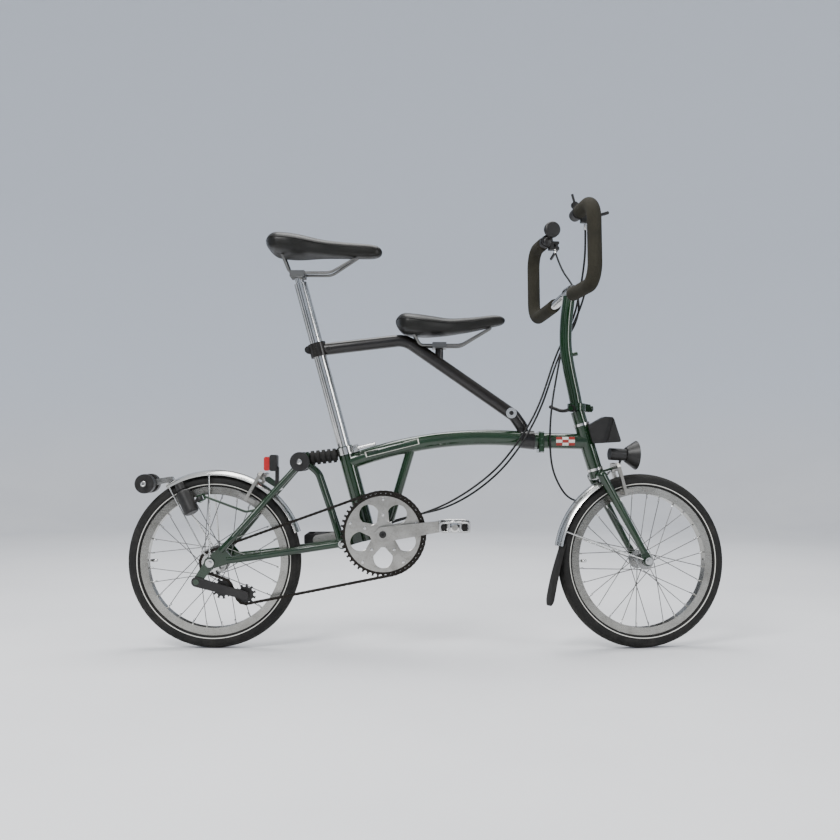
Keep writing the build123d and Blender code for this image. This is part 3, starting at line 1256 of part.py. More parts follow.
# ================================================================== cables
GEAR_CABLE = [
    (480, -106, 1016), (484, -88, 960), (482, -56, 905), (481, -4, 862), (473, 28, 812), (447, 30, 760),
    (421, 16, 704), (402, -2, 650), (383, -18, 600), (358, -32, 550), (322, -34, 494), (276, -30, 436),
    (214, -24, 386), (150, -20, 348), (92, -20, 326), (44, -23, 313),
    (8, -26, 301.3),
]
REAR_BRAKE_CABLE = [
    (439.7, 136.4, 1005.7), (452, 110, 950), (474, 72, 906), (490, 46, 860), (486, 51, 810), (457, 52, 758),
    (431, 38, 704), (411, 13, 652), (391, -11, 600), (366, -28, 548), (331, -42, 490), (284, -37, 430),
    (220, -16, 376), (154, 2, 340), (92, 16, 324), (44, 23, 313), (8, 26, 301.3),
]
FRONT_BRAKE_CABLE = [
    (494, -112, 1016), (498, -86, 950), (496, -42, 898), (494, 6, 856), (479, 39, 808), (452, 41, 758),
    (436, 25, 706), (424, 5, 654), (412, -17, 600), (405, -28, 544), (404, -30, 488), (410, -20, 438),
    (428, 0, 398), (452, 26, 366), (484, 50, 352), (516, 62, 362), (538, 62, 392), (564.1, 47.5, 428.9),
]


def gear_cable():
    """Gear cable housing, from the right shifter to the bottom bracket."""
    return [cable(GEAR_CABLE, 2.5, "gear_cable")]


def rear_brake_cable():
    """Rear brake cable housing, from the left lever to the bottom bracket."""
    return [cable(REAR_BRAKE_CABLE, 2.5, "rear_brake_cable")]


def front_brake_cable():
    """Front brake cable housing, from the right lever to the front brake."""
    return [cable(FRONT_BRAKE_CABLE, 2.5, "front_brake_cable")]


# ================================================================== assembly
def steered_wheel(shapes):
    """Front wheel pieces at the steered rest position."""
    return [steer(at_axle(shape, FRONT_AXLE_X)) for shape in shapes]


def rear_wheel(shapes):
    """Rear wheel pieces at the rear axle."""
    return [at_axle(shape, REAR_AXLE_X) for shape in shapes]


NODES = {
    "main_frame": lambda: [main_frame()[0] + hinge_clamp()],
    "bottom_bracket_bearings": bottom_bracket_bearings,
    "seat_clamp_collar": seat_clamp_collar,
    "seat_clamp_lever": seat_clamp_lever,
    "hinge_pins": hinge_pins,
    "second_seat_bar": second_seat_bar,
    "second_saddle_rails": second_saddle_rails,
    "second_saddle": second_saddle,
    "seat_pillar": seat_pillar,
    "saddle_rails": saddle_rails,
    "main_saddle": main_saddle,
    "front_frame": front_frame,
    "headset_bearings": headset_bearings,
    "luggage_block": luggage_block,
    "frame_hinge_lever": frame_hinge_lever,
    "fork": lambda: [fork()[0] + steer(stem_clamp())],
    "front_axle": front_axle,
    "front_mudguard": front_mudguard,
    "front_mudflap": front_mudflap,
    "front_lamp": front_lamp,
    "front_caliper_right": lambda: front_caliper(-1),
    "front_caliper_left": lambda: front_caliper(1),
    "handlebar_post": handlebar_post,
    "handlebar": handlebar,
    "handlebar_grips": handlebar_grips,
    "lever_brackets": lambda: lever_brackets() + [steer(shifter_mount())],
    "right_brake_lever": lambda: brake_lever(-1),
    "left_brake_lever": lambda: brake_lever(1),
    "gear_shifter": gear_shifter,
    "bell": bell,
    "stem_hinge_lever": stem_hinge_lever,
    "front_tyre": lambda: steered_wheel(tyre()),
    "front_rim": lambda: steered_wheel(rim()),
    "front_hub": lambda: steered_wheel(
        hub(FRONT_HUB_RADIUS, FRONT_FLANGE_RADIUS, FRONT_DROPOUT_GAP / 2 - 4, FRONT_AXLE_RADIUS)),
    "rear_tyre": lambda: rear_wheel(tyre()),
    "rear_rim": lambda: rear_wheel(rim()),
    "rear_hub": lambda: rear_wheel(hub(REAR_HUB_RADIUS, REAR_FLANGE_RADIUS, 38.0, REAR_AXLE_RADIUS)),
    "rear_frame": lambda: [rear_frame()[0] + dynamo_bracket()],
    "suspension_block": suspension_block,
    "rear_mudguard": lambda: rear_mudguard() + [roller_bracket()],
    "rear_lamp": rear_lamp,
    "rear_axle": rear_axle,
    "rear_rollers": rear_rollers,
    "upper_rollers": upper_rollers,
    "rear_caliper_right": lambda: rear_caliper(-1),
    "rear_caliper_left": lambda: rear_caliper(1),
    "crankset": crankset,
    "chainring": chainring,
    "right_pedal": lambda: pedal(-1),
    "left_pedal": lambda: pedal(1),
    "sprocket": sprocket,
    "tensioner_arm": tensioner_arm,
    "guide_jockey": lambda: jockey(GUIDE_JOCKEY),
    "tension_jockey": lambda: jockey(TENSION_JOCKEY),
    "chain": chain,
    "dynamo": dynamo,
    "dynamo_roller": dynamo_roller,
    "gear_cable": gear_cable,
    "rear_brake_cable": rear_brake_cable,
    "front_brake_cable": front_brake_cable,
}

os.makedirs("parts", exist_ok=True)
for node_name, build in NODES.items():
    write(node_name, build())
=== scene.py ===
"""Looks of a small-wheeled folding bicycle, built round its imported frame.

The frame of reference is the bicycle's own: X forward, Y to the rider's left, Z up, in metres, with the
origin on the ground under the bottom bracket. Small lengths are written in millimetres and turned into
metres with the constant MM. Places in the bicycle's frame are mostly in metres.
"""

import json
import logging
import math
from dataclasses import dataclass
from enum import Enum
from typing import Optional, Sequence

import bmesh
import bpy
import numpy as np
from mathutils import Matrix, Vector


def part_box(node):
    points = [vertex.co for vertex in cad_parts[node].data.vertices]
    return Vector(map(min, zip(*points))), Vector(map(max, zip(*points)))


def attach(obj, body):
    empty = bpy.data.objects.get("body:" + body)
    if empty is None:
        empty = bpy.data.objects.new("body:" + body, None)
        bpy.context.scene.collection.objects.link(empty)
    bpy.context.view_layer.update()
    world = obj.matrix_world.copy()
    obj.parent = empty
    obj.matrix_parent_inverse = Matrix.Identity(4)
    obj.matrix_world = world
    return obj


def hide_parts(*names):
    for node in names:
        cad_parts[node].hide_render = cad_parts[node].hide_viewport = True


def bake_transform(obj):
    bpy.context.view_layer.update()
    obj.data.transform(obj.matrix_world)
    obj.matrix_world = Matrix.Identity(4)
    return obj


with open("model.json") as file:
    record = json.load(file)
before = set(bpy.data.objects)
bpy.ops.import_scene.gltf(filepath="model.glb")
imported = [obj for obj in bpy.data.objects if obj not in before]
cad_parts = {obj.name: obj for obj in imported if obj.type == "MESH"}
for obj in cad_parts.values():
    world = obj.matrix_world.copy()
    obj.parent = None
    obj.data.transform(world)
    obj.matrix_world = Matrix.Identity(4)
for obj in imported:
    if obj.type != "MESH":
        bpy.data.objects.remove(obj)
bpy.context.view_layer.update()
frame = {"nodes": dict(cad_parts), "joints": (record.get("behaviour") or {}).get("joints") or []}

MM = 0.001
log = logging.getLogger("bicycle")

Point = tuple[float, float, float]
Colour = tuple[float, float, float]
Material = bpy.types.Material
Socket = bpy.types.NodeSocket
Tree = bpy.types.ShaderNodeTree
Paint = dict[str, bpy.types.Material]


# ---------------------------------------------------------------- geometry helpers
class Side(Enum):
    """Side of the bicycle, as the sign of its Y."""

    RIGHT = -1
    LEFT = 1


def joint(name: str) -> dict:
    """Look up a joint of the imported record.

    Args:
        name: the joint's name.

    Returns:
        The joint's record, with pos_m and axis.
    """
    return next(one for one in frame["joints"] if one["name"] == name)


def pivot(name: str) -> np.ndarray:
    """A joint's place in the bicycle's frame."""
    return np.array(joint(name)["pos_m"])


def unit(vector: np.ndarray) -> np.ndarray:
    """Scale vectors along the last axis to length one."""
    return vector / np.linalg.norm(vector, axis=-1, keepdims=True)


def around(count: int) -> np.ndarray:
    """Even angles round a full turn, in radians."""
    return np.linspace(0, 2 * np.pi, count, endpoint=False)


def circle(first: np.ndarray, second: np.ndarray, sides: int) -> np.ndarray:
    """Unit circles n cos t + b sin t, one for each pair of directions n and b."""
    t = around(sides)[:, None]
    return first[..., None, :] * np.cos(t) + second[..., None, :] * np.sin(t)


def signed_power(values: np.ndarray, power: float | np.ndarray) -> np.ndarray:
    """Raise numbers to a power and keep their sign: sgn(v) |v|^p."""
    return np.sign(values) * np.abs(values) ** power


def eased(values: np.ndarray, span: int) -> np.ndarray:
    """Smooth a row of values with a Hann window of an odd span, its ends held level."""
    kernel = np.hanning(span) / np.hanning(span).sum()
    return np.convolve(np.pad(values, span // 2, mode="edge"), kernel, mode="valid")


def arc_length(line: np.ndarray) -> np.ndarray:
    """Distance along a line of points, from its first to each of them."""
    return np.concatenate([[0], np.cumsum(np.linalg.norm(np.diff(line, axis=0), axis=1))])


def turned(points: np.ndarray, axis: np.ndarray, centre: np.ndarray, angle: float) -> np.ndarray:
    """Turn points about an axis by Rodrigues' formula.

    Args:
        points: array of points, the last axis being x, y and z.
        axis: unit direction of the axis.
        centre: a point on the axis.
        angle: angle in radians.

    Returns:
        The turned points: v cos a + (k x v) sin a + k (k . v)(1 - cos a), measured from the centre.
    """
    v = points - centre
    along = (v @ axis)[..., None] * axis
    return centre + v * math.cos(angle) + np.cross(axis, v) * math.sin(angle) + along * (1 - math.cos(angle))


def grid_faces(rows: int, columns: int, wrap_rows: bool, wrap_columns: bool) -> np.ndarray:
    """Quads of a grid whose vertices are numbered row by row.

    Args:
        rows: number of rows of vertices.
        columns: number of vertices in a row.
        wrap_rows: whether the last row joins the first.
        wrap_columns: whether each row closes on itself.

    Returns:
        An array of vertex numbers, four to a face.
    """
    i = np.arange(rows if wrap_rows else rows - 1)[:, None]
    j = np.arange(columns if wrap_columns else columns - 1)[None, :]
    here, below = i * columns, ((i + 1) % rows) * columns
    right = (j + 1) % columns
    return np.stack([here + j, below + j, below + right, here + right], axis=-1).reshape(-1, 4)


def placed(name: str, data: bpy.types.ID) -> bpy.types.Object:
    """Make an object of some data and link it to the scene."""
    thing = bpy.data.objects.new(name, data)
    bpy.context.scene.collection.objects.link(thing)
    return thing


def new_piece(name: str, vertices: np.ndarray, faces: list, body: Optional[str],
              material: Material, smooth: bool = True) -> bpy.types.Object:
    """Make a mesh object at the origin, dress it and let it ride on a body.

    Args:
        name: the piece's name.
        vertices: array of points in the bicycle's frame.
        faces: lists of vertex numbers.
        body: the CAD body it rides on, or None if it rides on none.
        material: its material.
        smooth: whether its faces are shaded smooth.

    Returns:
        The new object, with its faces pointing outwards.
    """
    mesh = bpy.data.meshes.new(name)
    mesh.from_pydata(np.asarray(vertices, float).reshape(-1, 3).tolist(), [], [list(f) for f in faces])
    mesh.validate()
    work = bmesh.new()
    work.from_mesh(mesh)
    bmesh.ops.recalc_face_normals(work, faces=work.faces)
    work.to_mesh(mesh)
    work.free()
    mesh.polygons.foreach_set("use_smooth", [smooth] * len(mesh.polygons))
    piece = placed(name, mesh)
    mesh.materials.append(material)
    if body:
        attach(piece, body)
    log.info("%s: %d faces", name, len(mesh.polygons))
    return piece


def copies(faces: list, size: int, count: int) -> list:
    """Faces of a shape that is repeated, where each copy has its own run of vertices."""
    return [[number + copy * size for number in face] for copy in range(count) for face in faces]


def mesh_points(mesh: bpy.types.Mesh) -> np.ndarray:
    """Vertices of a mesh, as an array of points."""
    points = np.zeros(len(mesh.vertices) * 3)
    mesh.vertices.foreach_get("co", points)
    return points.reshape(-1, 3)


def capped(rows: int, columns: int) -> list:
    """Faces of a tube grid whose rows close on themselves, with a cap at each end.

    Args:
        rows: number of rings.
        columns: number of vertices in a ring.

    Returns:
        Lists of vertex numbers.
    """
    faces = grid_faces(rows, columns, False, True).tolist()
    faces.append(list(range(columns))[::-1])
    faces.append(list(range((rows - 1) * columns, rows * columns)))
    return faces


def tube_along(path: np.ndarray, radii: np.ndarray, sides: int = 14) -> np.ndarray:
    """Vertices of a round tube along a path.

    Each ring is centre + radius (n cos t + b sin t), where n is carried along the path with as little
    twist as possible and b is the tangent crossed with n.

    Args:
        path: points of the centre line.
        radii: the tube's radius at each point.
        sides: number of vertices round the tube.

    Returns:
        An array of points, ring by ring.
    """
    tangent = unit(np.gradient(path, axis=0))
    start = np.array([0.0, 1.0, 0.0]) if abs(tangent[0][1]) < 0.9 else np.array([1.0, 0.0, 0.0])
    normal = unit(start - (start @ tangent[0]) * tangent[0])
    normals = [normal]
    for direction in tangent[1:]:
        normal = unit(normal - (normal @ direction) * direction)
        normals.append(normal)
    n = np.array(normals)
    ring = circle(n, np.cross(tangent, n), sides)
    return path[:, None] + np.asarray(radii)[:, None, None] * ring


def lathe(profile: np.ndarray, centre: np.ndarray, axis: np.ndarray, sides: int = 48) -> np.ndarray:
    """Vertices of a turned shape: each profile point (along, radius) swept round an axis.

    Args:
        profile: distances along the axis and radii.
        centre: the axis's starting point.
        axis: unit direction of the axis.
        sides: number of vertices round it.

    Returns:
        An array of points, ring by ring.
    """
    reference = np.array([0.0, 0.0, 1.0]) if abs(axis[2]) < 0.9 else np.array([1.0, 0.0, 0.0])
    n = unit(np.cross(axis, reference))
    ring = circle(n, np.cross(axis, n), sides)
    return centre + profile[:, 0][:, None, None] * axis + profile[:, 1][:, None, None] * ring[None]


def nurbs_points(name: str, points: Sequence[Point], resolution: int = 8) -> np.ndarray:
    """Points along a smooth NURBS curve of order three with the given control points.

    Args:
        name: a name for the temporary curve.
        points: the route's control points, in metres.
        resolution: points evaluated per span.

    Returns:
        The evaluated points in order.
    """
    curve = bpy.data.curves.new(name, "CURVE")
    curve.dimensions = "3D"
    curve.resolution_u = resolution
    spline = curve.splines.new("NURBS")
    spline.points.add(len(points) - 1)
    for control, place in zip(spline.points, points):
        control.co = (*place, 1.0)
    spline.order_u = 3
    spline.use_endpoint_u = True
    holder = placed(name, curve)
    bpy.context.view_layer.update()
    mesh = bpy.data.meshes.new_from_object(holder)
    line = mesh_points(mesh)
    bpy.data.objects.remove(holder)
    bpy.data.meshes.remove(mesh)
    bpy.data.curves.remove(curve)
    return line


# ---------------------------------------------------------------- shader node groups
def socket(group: Tree, name: str, kind: str, output: bool = False,
           default: Optional[float] = None) -> None:
    """Add one named socket to a shader node group.

    Args:
        group: the node group.
        name: the socket's name.
        kind: Float, Color or Vector.
        output: whether it is an output.
        default: its value when nothing is linked.
    """
    made = group.interface.new_socket(name, in_out="OUTPUT" if output else "INPUT",
                                      socket_type="NodeSocket" + kind)
    if default is not None:
        made.default_value = default


def node(tree: bpy.types.NodeTree, kind: str, inputs: Optional[dict] = None,
         **settings: object) -> bpy.types.Node:
    """Add a node, set its properties, and link or set its inputs.

    Args:
        tree: the node tree.
        kind: the node's type without its prefix.
        inputs: values or sockets by input name or number.
        settings: properties of the node.

    Returns:
        The new node.
    """
    made = tree.nodes.new("ShaderNode" + kind)
    for key, value in settings.items():
        setattr(made, key, value)
    for key, value in (inputs or {}).items():
        if isinstance(value, Socket):
            tree.links.new(value, made.inputs[key])
        else:
            made.inputs[key].default_value = value
    return made


def math_node(tree: bpy.types.NodeTree, operation: str, *values: object) -> Socket:
    """Output of a Math node with the given operands."""
    return node(tree, "Math", dict(enumerate(values)), operation=operation).outputs[0]


def smooth_step(tree: bpy.types.NodeTree, value: object, low: object, high: object) -> Socket:
    """Output of a smooth step from 0 at low to 1 at high."""
    inputs = {"Value": value, "From Min": low, "From Max": high}
    return node(tree, "MapRange", inputs, interpolation_type="SMOOTHSTEP").outputs["Result"]


def new_group(name: str, inputs: Sequence[tuple], outputs: Sequence[tuple]) -> tuple:
    """Start a shader node group.

    Args:
        name: the group's name.
        inputs: name, kind and default of each input.
        outputs: name and kind of each output.

    Returns:
        The group, its input node and its output node.
    """
    group = bpy.data.node_groups.new(name, "ShaderNodeTree")
    for label, kind, default in inputs:
        socket(group, label, kind, default=default)
    for label, kind in outputs:
        socket(group, label, kind, output=True)
    return group, group.nodes.new("NodeGroupInput"), group.nodes.new("NodeGroupOutput")


def grain_group() -> Tree:
    """Fine grain: a noise whose height and mask lie round a middle value."""
    group, start, end = new_group(
        "fine_grain", [("Vector", "Vector", None), ("Scale", "Float", 400.0), ("Detail", "Float", 6.0)],
        [("Height", "Float"), ("Mask", "Float")])
    noise = node(group, "TexNoise", {"Vector": start.outputs["Vector"], "Scale": start.outputs["Scale"],
                                     "Detail": start.outputs["Detail"]})
    group.links.new(noise.outputs["Fac"], end.inputs["Height"])
    group.links.new(smooth_step(group, noise.outputs["Fac"], 0.42, 0.62), end.inputs["Mask"])
    return group


def dust_group() -> Tree:
    """Road dust: a patchy mask with fine flecks, stronger low on the bicycle."""
    group, start, end = new_group(
        "road_dust", [("Vector", "Vector", None), ("Amount", "Float", 0.3)], [("Mask", "Float")])
    cloud = node(group, "TexNoise", {"Vector": start.outputs["Vector"], "Scale": 28.0, "Detail": 8.0,
                                     "Roughness": 0.65})
    spots = node(group, "TexNoise", {"Vector": start.outputs["Vector"], "Scale": 310.0, "Detail": 3.0})
    patch = smooth_step(group, cloud.outputs["Fac"], 0.45, 0.75)
    fleck = smooth_step(group, spots.outputs["Fac"], 0.52, 0.72)
    mixed = math_node(group, "ADD", math_node(group, "MULTIPLY", patch, 0.7),
                      math_node(group, "MULTIPLY", fleck, 0.35))
    height = node(group, "SeparateXYZ", {0: start.outputs["Vector"]}).outputs["Z"]
    low = math_node(group, "SUBTRACT", 1.25, smooth_step(group, height, 0.05, 0.75))
    total = math_node(group, "MULTIPLY", math_node(group, "MULTIPLY", mixed, low), start.outputs["Amount"])
    clamped = node(group, "Clamp", {"Value": total}).outputs[0]
    group.links.new(clamped, end.inputs["Mask"])
    return group


def wear_group() -> Tree:
    """Wear: small chips where two noises are both high, so that they come in sparse clusters."""
    group, start, end = new_group(
        "chips", [("Vector", "Vector", None), ("Amount", "Float", 0.5)], [("Mask", "Float")])
    vector = start.outputs["Vector"]
    broad = node(group, "TexNoise", {"Vector": vector, "Scale": 17.0, "Detail": 3.0})
    fine = node(group, "TexNoise", {"Vector": vector, "Scale": 420.0, "Detail": 4.0})
    cluster = smooth_step(group, broad.outputs["Fac"], 0.56, 0.70)
    chip = smooth_step(group, fine.outputs["Fac"], 0.60, 0.66)
    total = math_node(group, "MULTIPLY", math_node(group, "MULTIPLY", cluster, chip), start.outputs["Amount"])
    group.links.new(total, end.inputs["Mask"])
    return group


def brushed_group() -> Tree:
    """Brushed metal: fine noise drawn out along X of the given vector, and a broad mask for smudges."""
    group, start, end = new_group(
        "brushed", [("Vector", "Vector", None), ("Scale", "Float", 60.0)],
        [("Height", "Float"), ("Mask", "Float")])
    stretched = node(group, "Mapping", {"Vector": start.outputs["Vector"], "Scale": (1.0, 9.0, 9.0)})
    fine = node(group, "TexNoise", {"Vector": stretched.outputs[0], "Scale": start.outputs["Scale"],
                                    "Detail": 7.0, "Roughness": 0.7})
    broad = node(group, "TexNoise", {"Vector": start.outputs["Vector"], "Scale": 22.0, "Detail": 4.0})
    group.links.new(fine.outputs["Fac"], end.inputs["Height"])
    group.links.new(smooth_step(group, broad.outputs["Fac"], 0.4, 0.7), end.inputs["Mask"])
    return group


def leather_group() -> Tree:
    """Leather grain: rounded cells of two sizes with creases between them."""
    group, start, end = new_group(
        "leather_grain", [("Vector", "Vector", None), ("Scale", "Float", 620.0)],
        [("Height", "Float"), ("Crease", "Float")])
    vector = start.outputs["Vector"]
    bend = node(group, "TexNoise", {"Vector": vector, "Scale": 90.0, "Detail": 3.0})
    shift = node(group, "VectorMath", {0: bend.outputs["Color"], "Scale": 0.004}, operation="SCALE")
    moved = node(group, "VectorMath", {0: vector, 1: shift.outputs[0]}, operation="ADD").outputs[0]
    cells = node(group, "TexVoronoi", {"Vector": moved, "Scale": start.outputs["Scale"]},
                 feature="DISTANCE_TO_EDGE")
    crease = smooth_step(group, cells.outputs["Distance"], 0.0, 0.16)
    fine = node(group, "TexNoise", {"Vector": vector, "Scale": 1500.0, "Detail": 2.0})
    height = math_node(group, "ADD", crease, math_node(group, "MULTIPLY", fine.outputs["Fac"], 0.3))
    group.links.new(height, end.inputs["Height"])
    group.links.new(math_node(group, "SUBTRACT", 1.0, crease), end.inputs["Crease"])
    return group


def radius_group() -> Tree:
    """Distance from the Z axis of a vector, in metres, and the angle round it, in radians."""
    group, start, end = new_group("wheel_radius", [("Vector", "Vector", None)],
                                  [("Radius", "Float"), ("Angle", "Float")])
    parts = node(group, "SeparateXYZ", {0: start.outputs["Vector"]})
    x, y = parts.outputs["X"], parts.outputs["Y"]
    squared = math_node(group, "ADD", math_node(group, "MULTIPLY", x, x), math_node(group, "MULTIPLY", y, y))
    group.links.new(math_node(group, "SQRT", squared), end.inputs["Radius"])
    group.links.new(math_node(group, "ARCTAN2", y, x), end.inputs["Angle"])
    return group


GROUPS = {maker.__name__.replace("_group", ""): maker() for maker in (
    grain_group, dust_group, wear_group, brushed_group, leather_group, radius_group)}


# ---------------------------------------------------------------- finishes
class Shader:
    """A material under construction: its tree, its Principled BSDF and helpers to place groups."""

    def __init__(self, name: str) -> None:
        """Start a material.

        Args:
            name: the material's name.
        """
        self.material = bpy.data.materials.new(name)
        self.material.use_nodes = True
        self.tree = self.material.node_tree
        self.bsdf = self.tree.nodes["Principled BSDF"]
        self.place = node(self.tree, "TexCoord").outputs["Object"]

    def group(self, name: str, vector: Optional[Socket] = None, **values: float) -> bpy.types.Node:
        """Place a shared node group with its own values.

        Args:
            name: the group's name in GROUPS.
            vector: its vector, or None for Object coordinates.
            values: its other inputs by name.

        Returns:
            The group's node.
        """
        made = self.tree.nodes.new("ShaderNodeGroup")
        made.node_tree = GROUPS[name]
        self.tree.links.new(vector or self.place, made.inputs["Vector"])
        for key, value in values.items():
            made.inputs[key].default_value = value
        return made

    def noise(self, scale: float, low: float, high: float, detail: float = 5.0) -> Socket:
        """A noise mask that rises smoothly from low to high."""
        made = node(self.tree, "TexNoise", {"Vector": self.place, "Scale": scale, "Detail": detail})
        return smooth_step(self.tree, made.outputs["Fac"], low, high)

    def mix(self, mask: object, first: object, second: object) -> Socket:
        """Blend two colours by a mask."""
        made = node(self.tree, "Mix", data_type="RGBA")
        for index, value in ((0, mask), (6, first), (7, second)):
            if isinstance(value, Socket):
                self.tree.links.new(value, made.inputs[index])
            else:
                made.inputs[index].default_value = (*value, 1.0) if isinstance(value, tuple) else value
        return made.outputs[2]

    def blend_values(self, mask: object, first: float, second: float) -> Socket:
        """Blend two numbers by a mask."""
        inputs = {"Value": mask, "To Min": first, "To Max": second}
        return node(self.tree, "MapRange", inputs).outputs["Result"]

    def math(self, operation: str, *values: object) -> Socket:
        """Output of a Math node of this material."""
        return math_node(self.tree, operation, *values)

    def step(self, value: object, low: float, high: float) -> Socket:
        """Output of a smooth step of this material."""
        return smooth_step(self.tree, value, low, high)

    def bump(self, height: Socket, strength: float, distance: float) -> None:
        """Feed a height through a Bump node into Normal, on top of any earlier bump.

        Args:
            height: the height.
            strength: the bump's strength.
            distance: the bump's depth in metres.
        """
        inputs = {"Height": height, "Strength": strength, "Distance": distance}
        if self.bsdf.inputs["Normal"].is_linked:
            inputs["Normal"] = self.bsdf.inputs["Normal"].links[0].from_socket
        made = node(self.tree, "Bump", inputs)
        self.tree.links.new(made.outputs[0], self.bsdf.inputs["Normal"])

    def feed(self, **sockets: object) -> Material:
        """Link or set the BSDF's inputs, by name with underscores for spaces, and return the material."""
        for key, value in sockets.items():
            target = self.bsdf.inputs[key.replace("_", " ")]
            if isinstance(value, Socket):
                self.tree.links.new(value, target)
            else:
                target.default_value = value
        return self.material


@dataclass(frozen=True)
class Enamel:
    """Gloss paint with orange peel, sparse clusters of small chips and a little dust."""

    name: str
    colour: Colour
    deep: Colour
    roughness: float = 0.18
    coat: float = 0.9
    dust: float = 0.05
    chipped: Colour = (0.12, 0.12, 0.10)
    dusty: Colour = (0.13, 0.125, 0.11)

    def make(self) -> Material:
        """Build the material."""
        shader = Shader(self.name)
        tone = shader.mix(shader.noise(9.0, 0.35, 0.65), self.colour, self.deep)
        chips = shader.group("wear", Amount=0.55).outputs["Mask"]
        tone = shader.mix(chips, tone, self.chipped)
        film = shader.group("dust", Amount=self.dust).outputs["Mask"]
        tone = shader.mix(film, tone, self.dusty)
        peel = shader.group("grain", Scale=240.0, Detail=2.0)
        shader.bump(peel.outputs["Height"], 0.10, 0.0004)
        rough = shader.blend_values(film, self.roughness, 0.5)
        return shader.feed(Base_Color=tone, Roughness=rough, Coat_Weight=self.coat, Coat_Roughness=0.05,
                           Coat_IOR=1.45, Specular_IOR_Level=0.3)


@dataclass(frozen=True)
class Metal:
    """Bare or plated metal with brush lines, smudges and grime."""

    name: str
    colour: Colour
    grime: Colour
    roughness: float
    brushed: float = 0.25
    dirt: float = 0.25

    def make(self) -> Material:
        """Build the material."""
        shader = Shader(self.name)
        lines = shader.group("brushed", Scale=60.0)
        dust = shader.group("dust", Amount=self.dirt).outputs["Mask"]
        tone = shader.mix(dust, self.colour, self.grime)
        shade = shader.mix(lines.outputs["Mask"], tone, shader.mix(0.25, tone, self.grime))
        shader.bump(lines.outputs["Height"], self.brushed, 0.0002)
        smooth, coarse = self.roughness * 0.7, self.roughness * 1.5
        rough = shader.blend_values(lines.outputs["Height"], smooth, coarse)
        metallic = shader.blend_values(dust, 1.0, 0.8)
        return shader.feed(Base_Color=shade, Roughness=rough, Metallic=metallic)


@dataclass(frozen=True)
class Moulded:
    """Moulded plastic or rubber with a fine spark-eroded texture and sparse paler chips."""

    name: str
    colour: Colour
    pale: Colour
    roughness: float
    texture: float = 0.35
    scale: float = 900.0
    dust: float = 0.12
    gloss: float = 0.25
    dusty: Colour = (0.10, 0.095, 0.085)

    def make(self) -> Material:
        """Build the material."""
        shader = Shader(self.name)
        grain = shader.group("grain", Scale=self.scale)
        chips = shader.group("wear", Amount=0.5).outputs["Mask"]
        dust = shader.group("dust", Amount=self.dust).outputs["Mask"]
        tone = shader.mix(chips, shader.mix(grain.outputs["Mask"], self.colour, self.pale), self.pale)
        tone = shader.mix(dust, tone, self.dusty)
        shader.bump(grain.outputs["Height"], self.texture, 0.0004)
        coarse = min(1.0, self.roughness + 0.15)
        rough = shader.blend_values(grain.outputs["Mask"], self.roughness, coarse)
        return shader.feed(Base_Color=tone, Roughness=rough, Specular_IOR_Level=self.gloss)


@dataclass(frozen=True)
class Leather:
    """Black saddle cover: grained, with dark creases, rubbed and shinier in patches."""

    name: str
    colour: Colour
    rubbed: Colour
    crease: Colour = (0.004, 0.004, 0.003)

    def make(self) -> Material:
        """Build the material."""
        shader = Shader(self.name)
        grain = shader.group("leather", Scale=560.0)
        worn = shader.noise(16.0, 0.42, 0.66)
        tone = shader.mix(worn, self.colour, self.rubbed)
        tone = shader.mix(grain.outputs["Crease"], tone, self.crease)
        shader.bump(grain.outputs["Height"], 0.30, 0.0004)
        rough = shader.blend_values(worn, 0.42, 0.30)
        return shader.feed(Base_Color=tone, Roughness=rough, Coat_Weight=0.06, Coat_Roughness=0.25,
                           Specular_IOR_Level=0.28)


@dataclass(frozen=True)
class Foam:
    """Speckled closed-cell foam, dull and slightly pitted."""

    name: str
    colour: Colour
    speck: Colour
    greasy: Colour = (0.016, 0.015, 0.011)

    def make(self) -> Material:
        """Build the material."""
        shader = Shader(self.name)
        cells = node(shader.tree, "TexVoronoi", {"Vector": shader.place, "Scale": 520.0})
        pits = shader.step(cells.outputs["Distance"], 0.1, 0.55)
        specks = shader.noise(700.0, 0.55, 0.68, 2.0)
        tone = shader.mix(specks, shader.mix(pits, self.colour, self.speck), self.speck)
        hands = shader.noise(24.0, 0.4, 0.65)
        tone = shader.mix(hands, tone, shader.mix(0.45, tone, self.greasy))
        shader.bump(pits, 0.6, 0.0006)
        return shader.feed(Base_Color=tone, Roughness=0.93, Specular_IOR_Level=0.15)


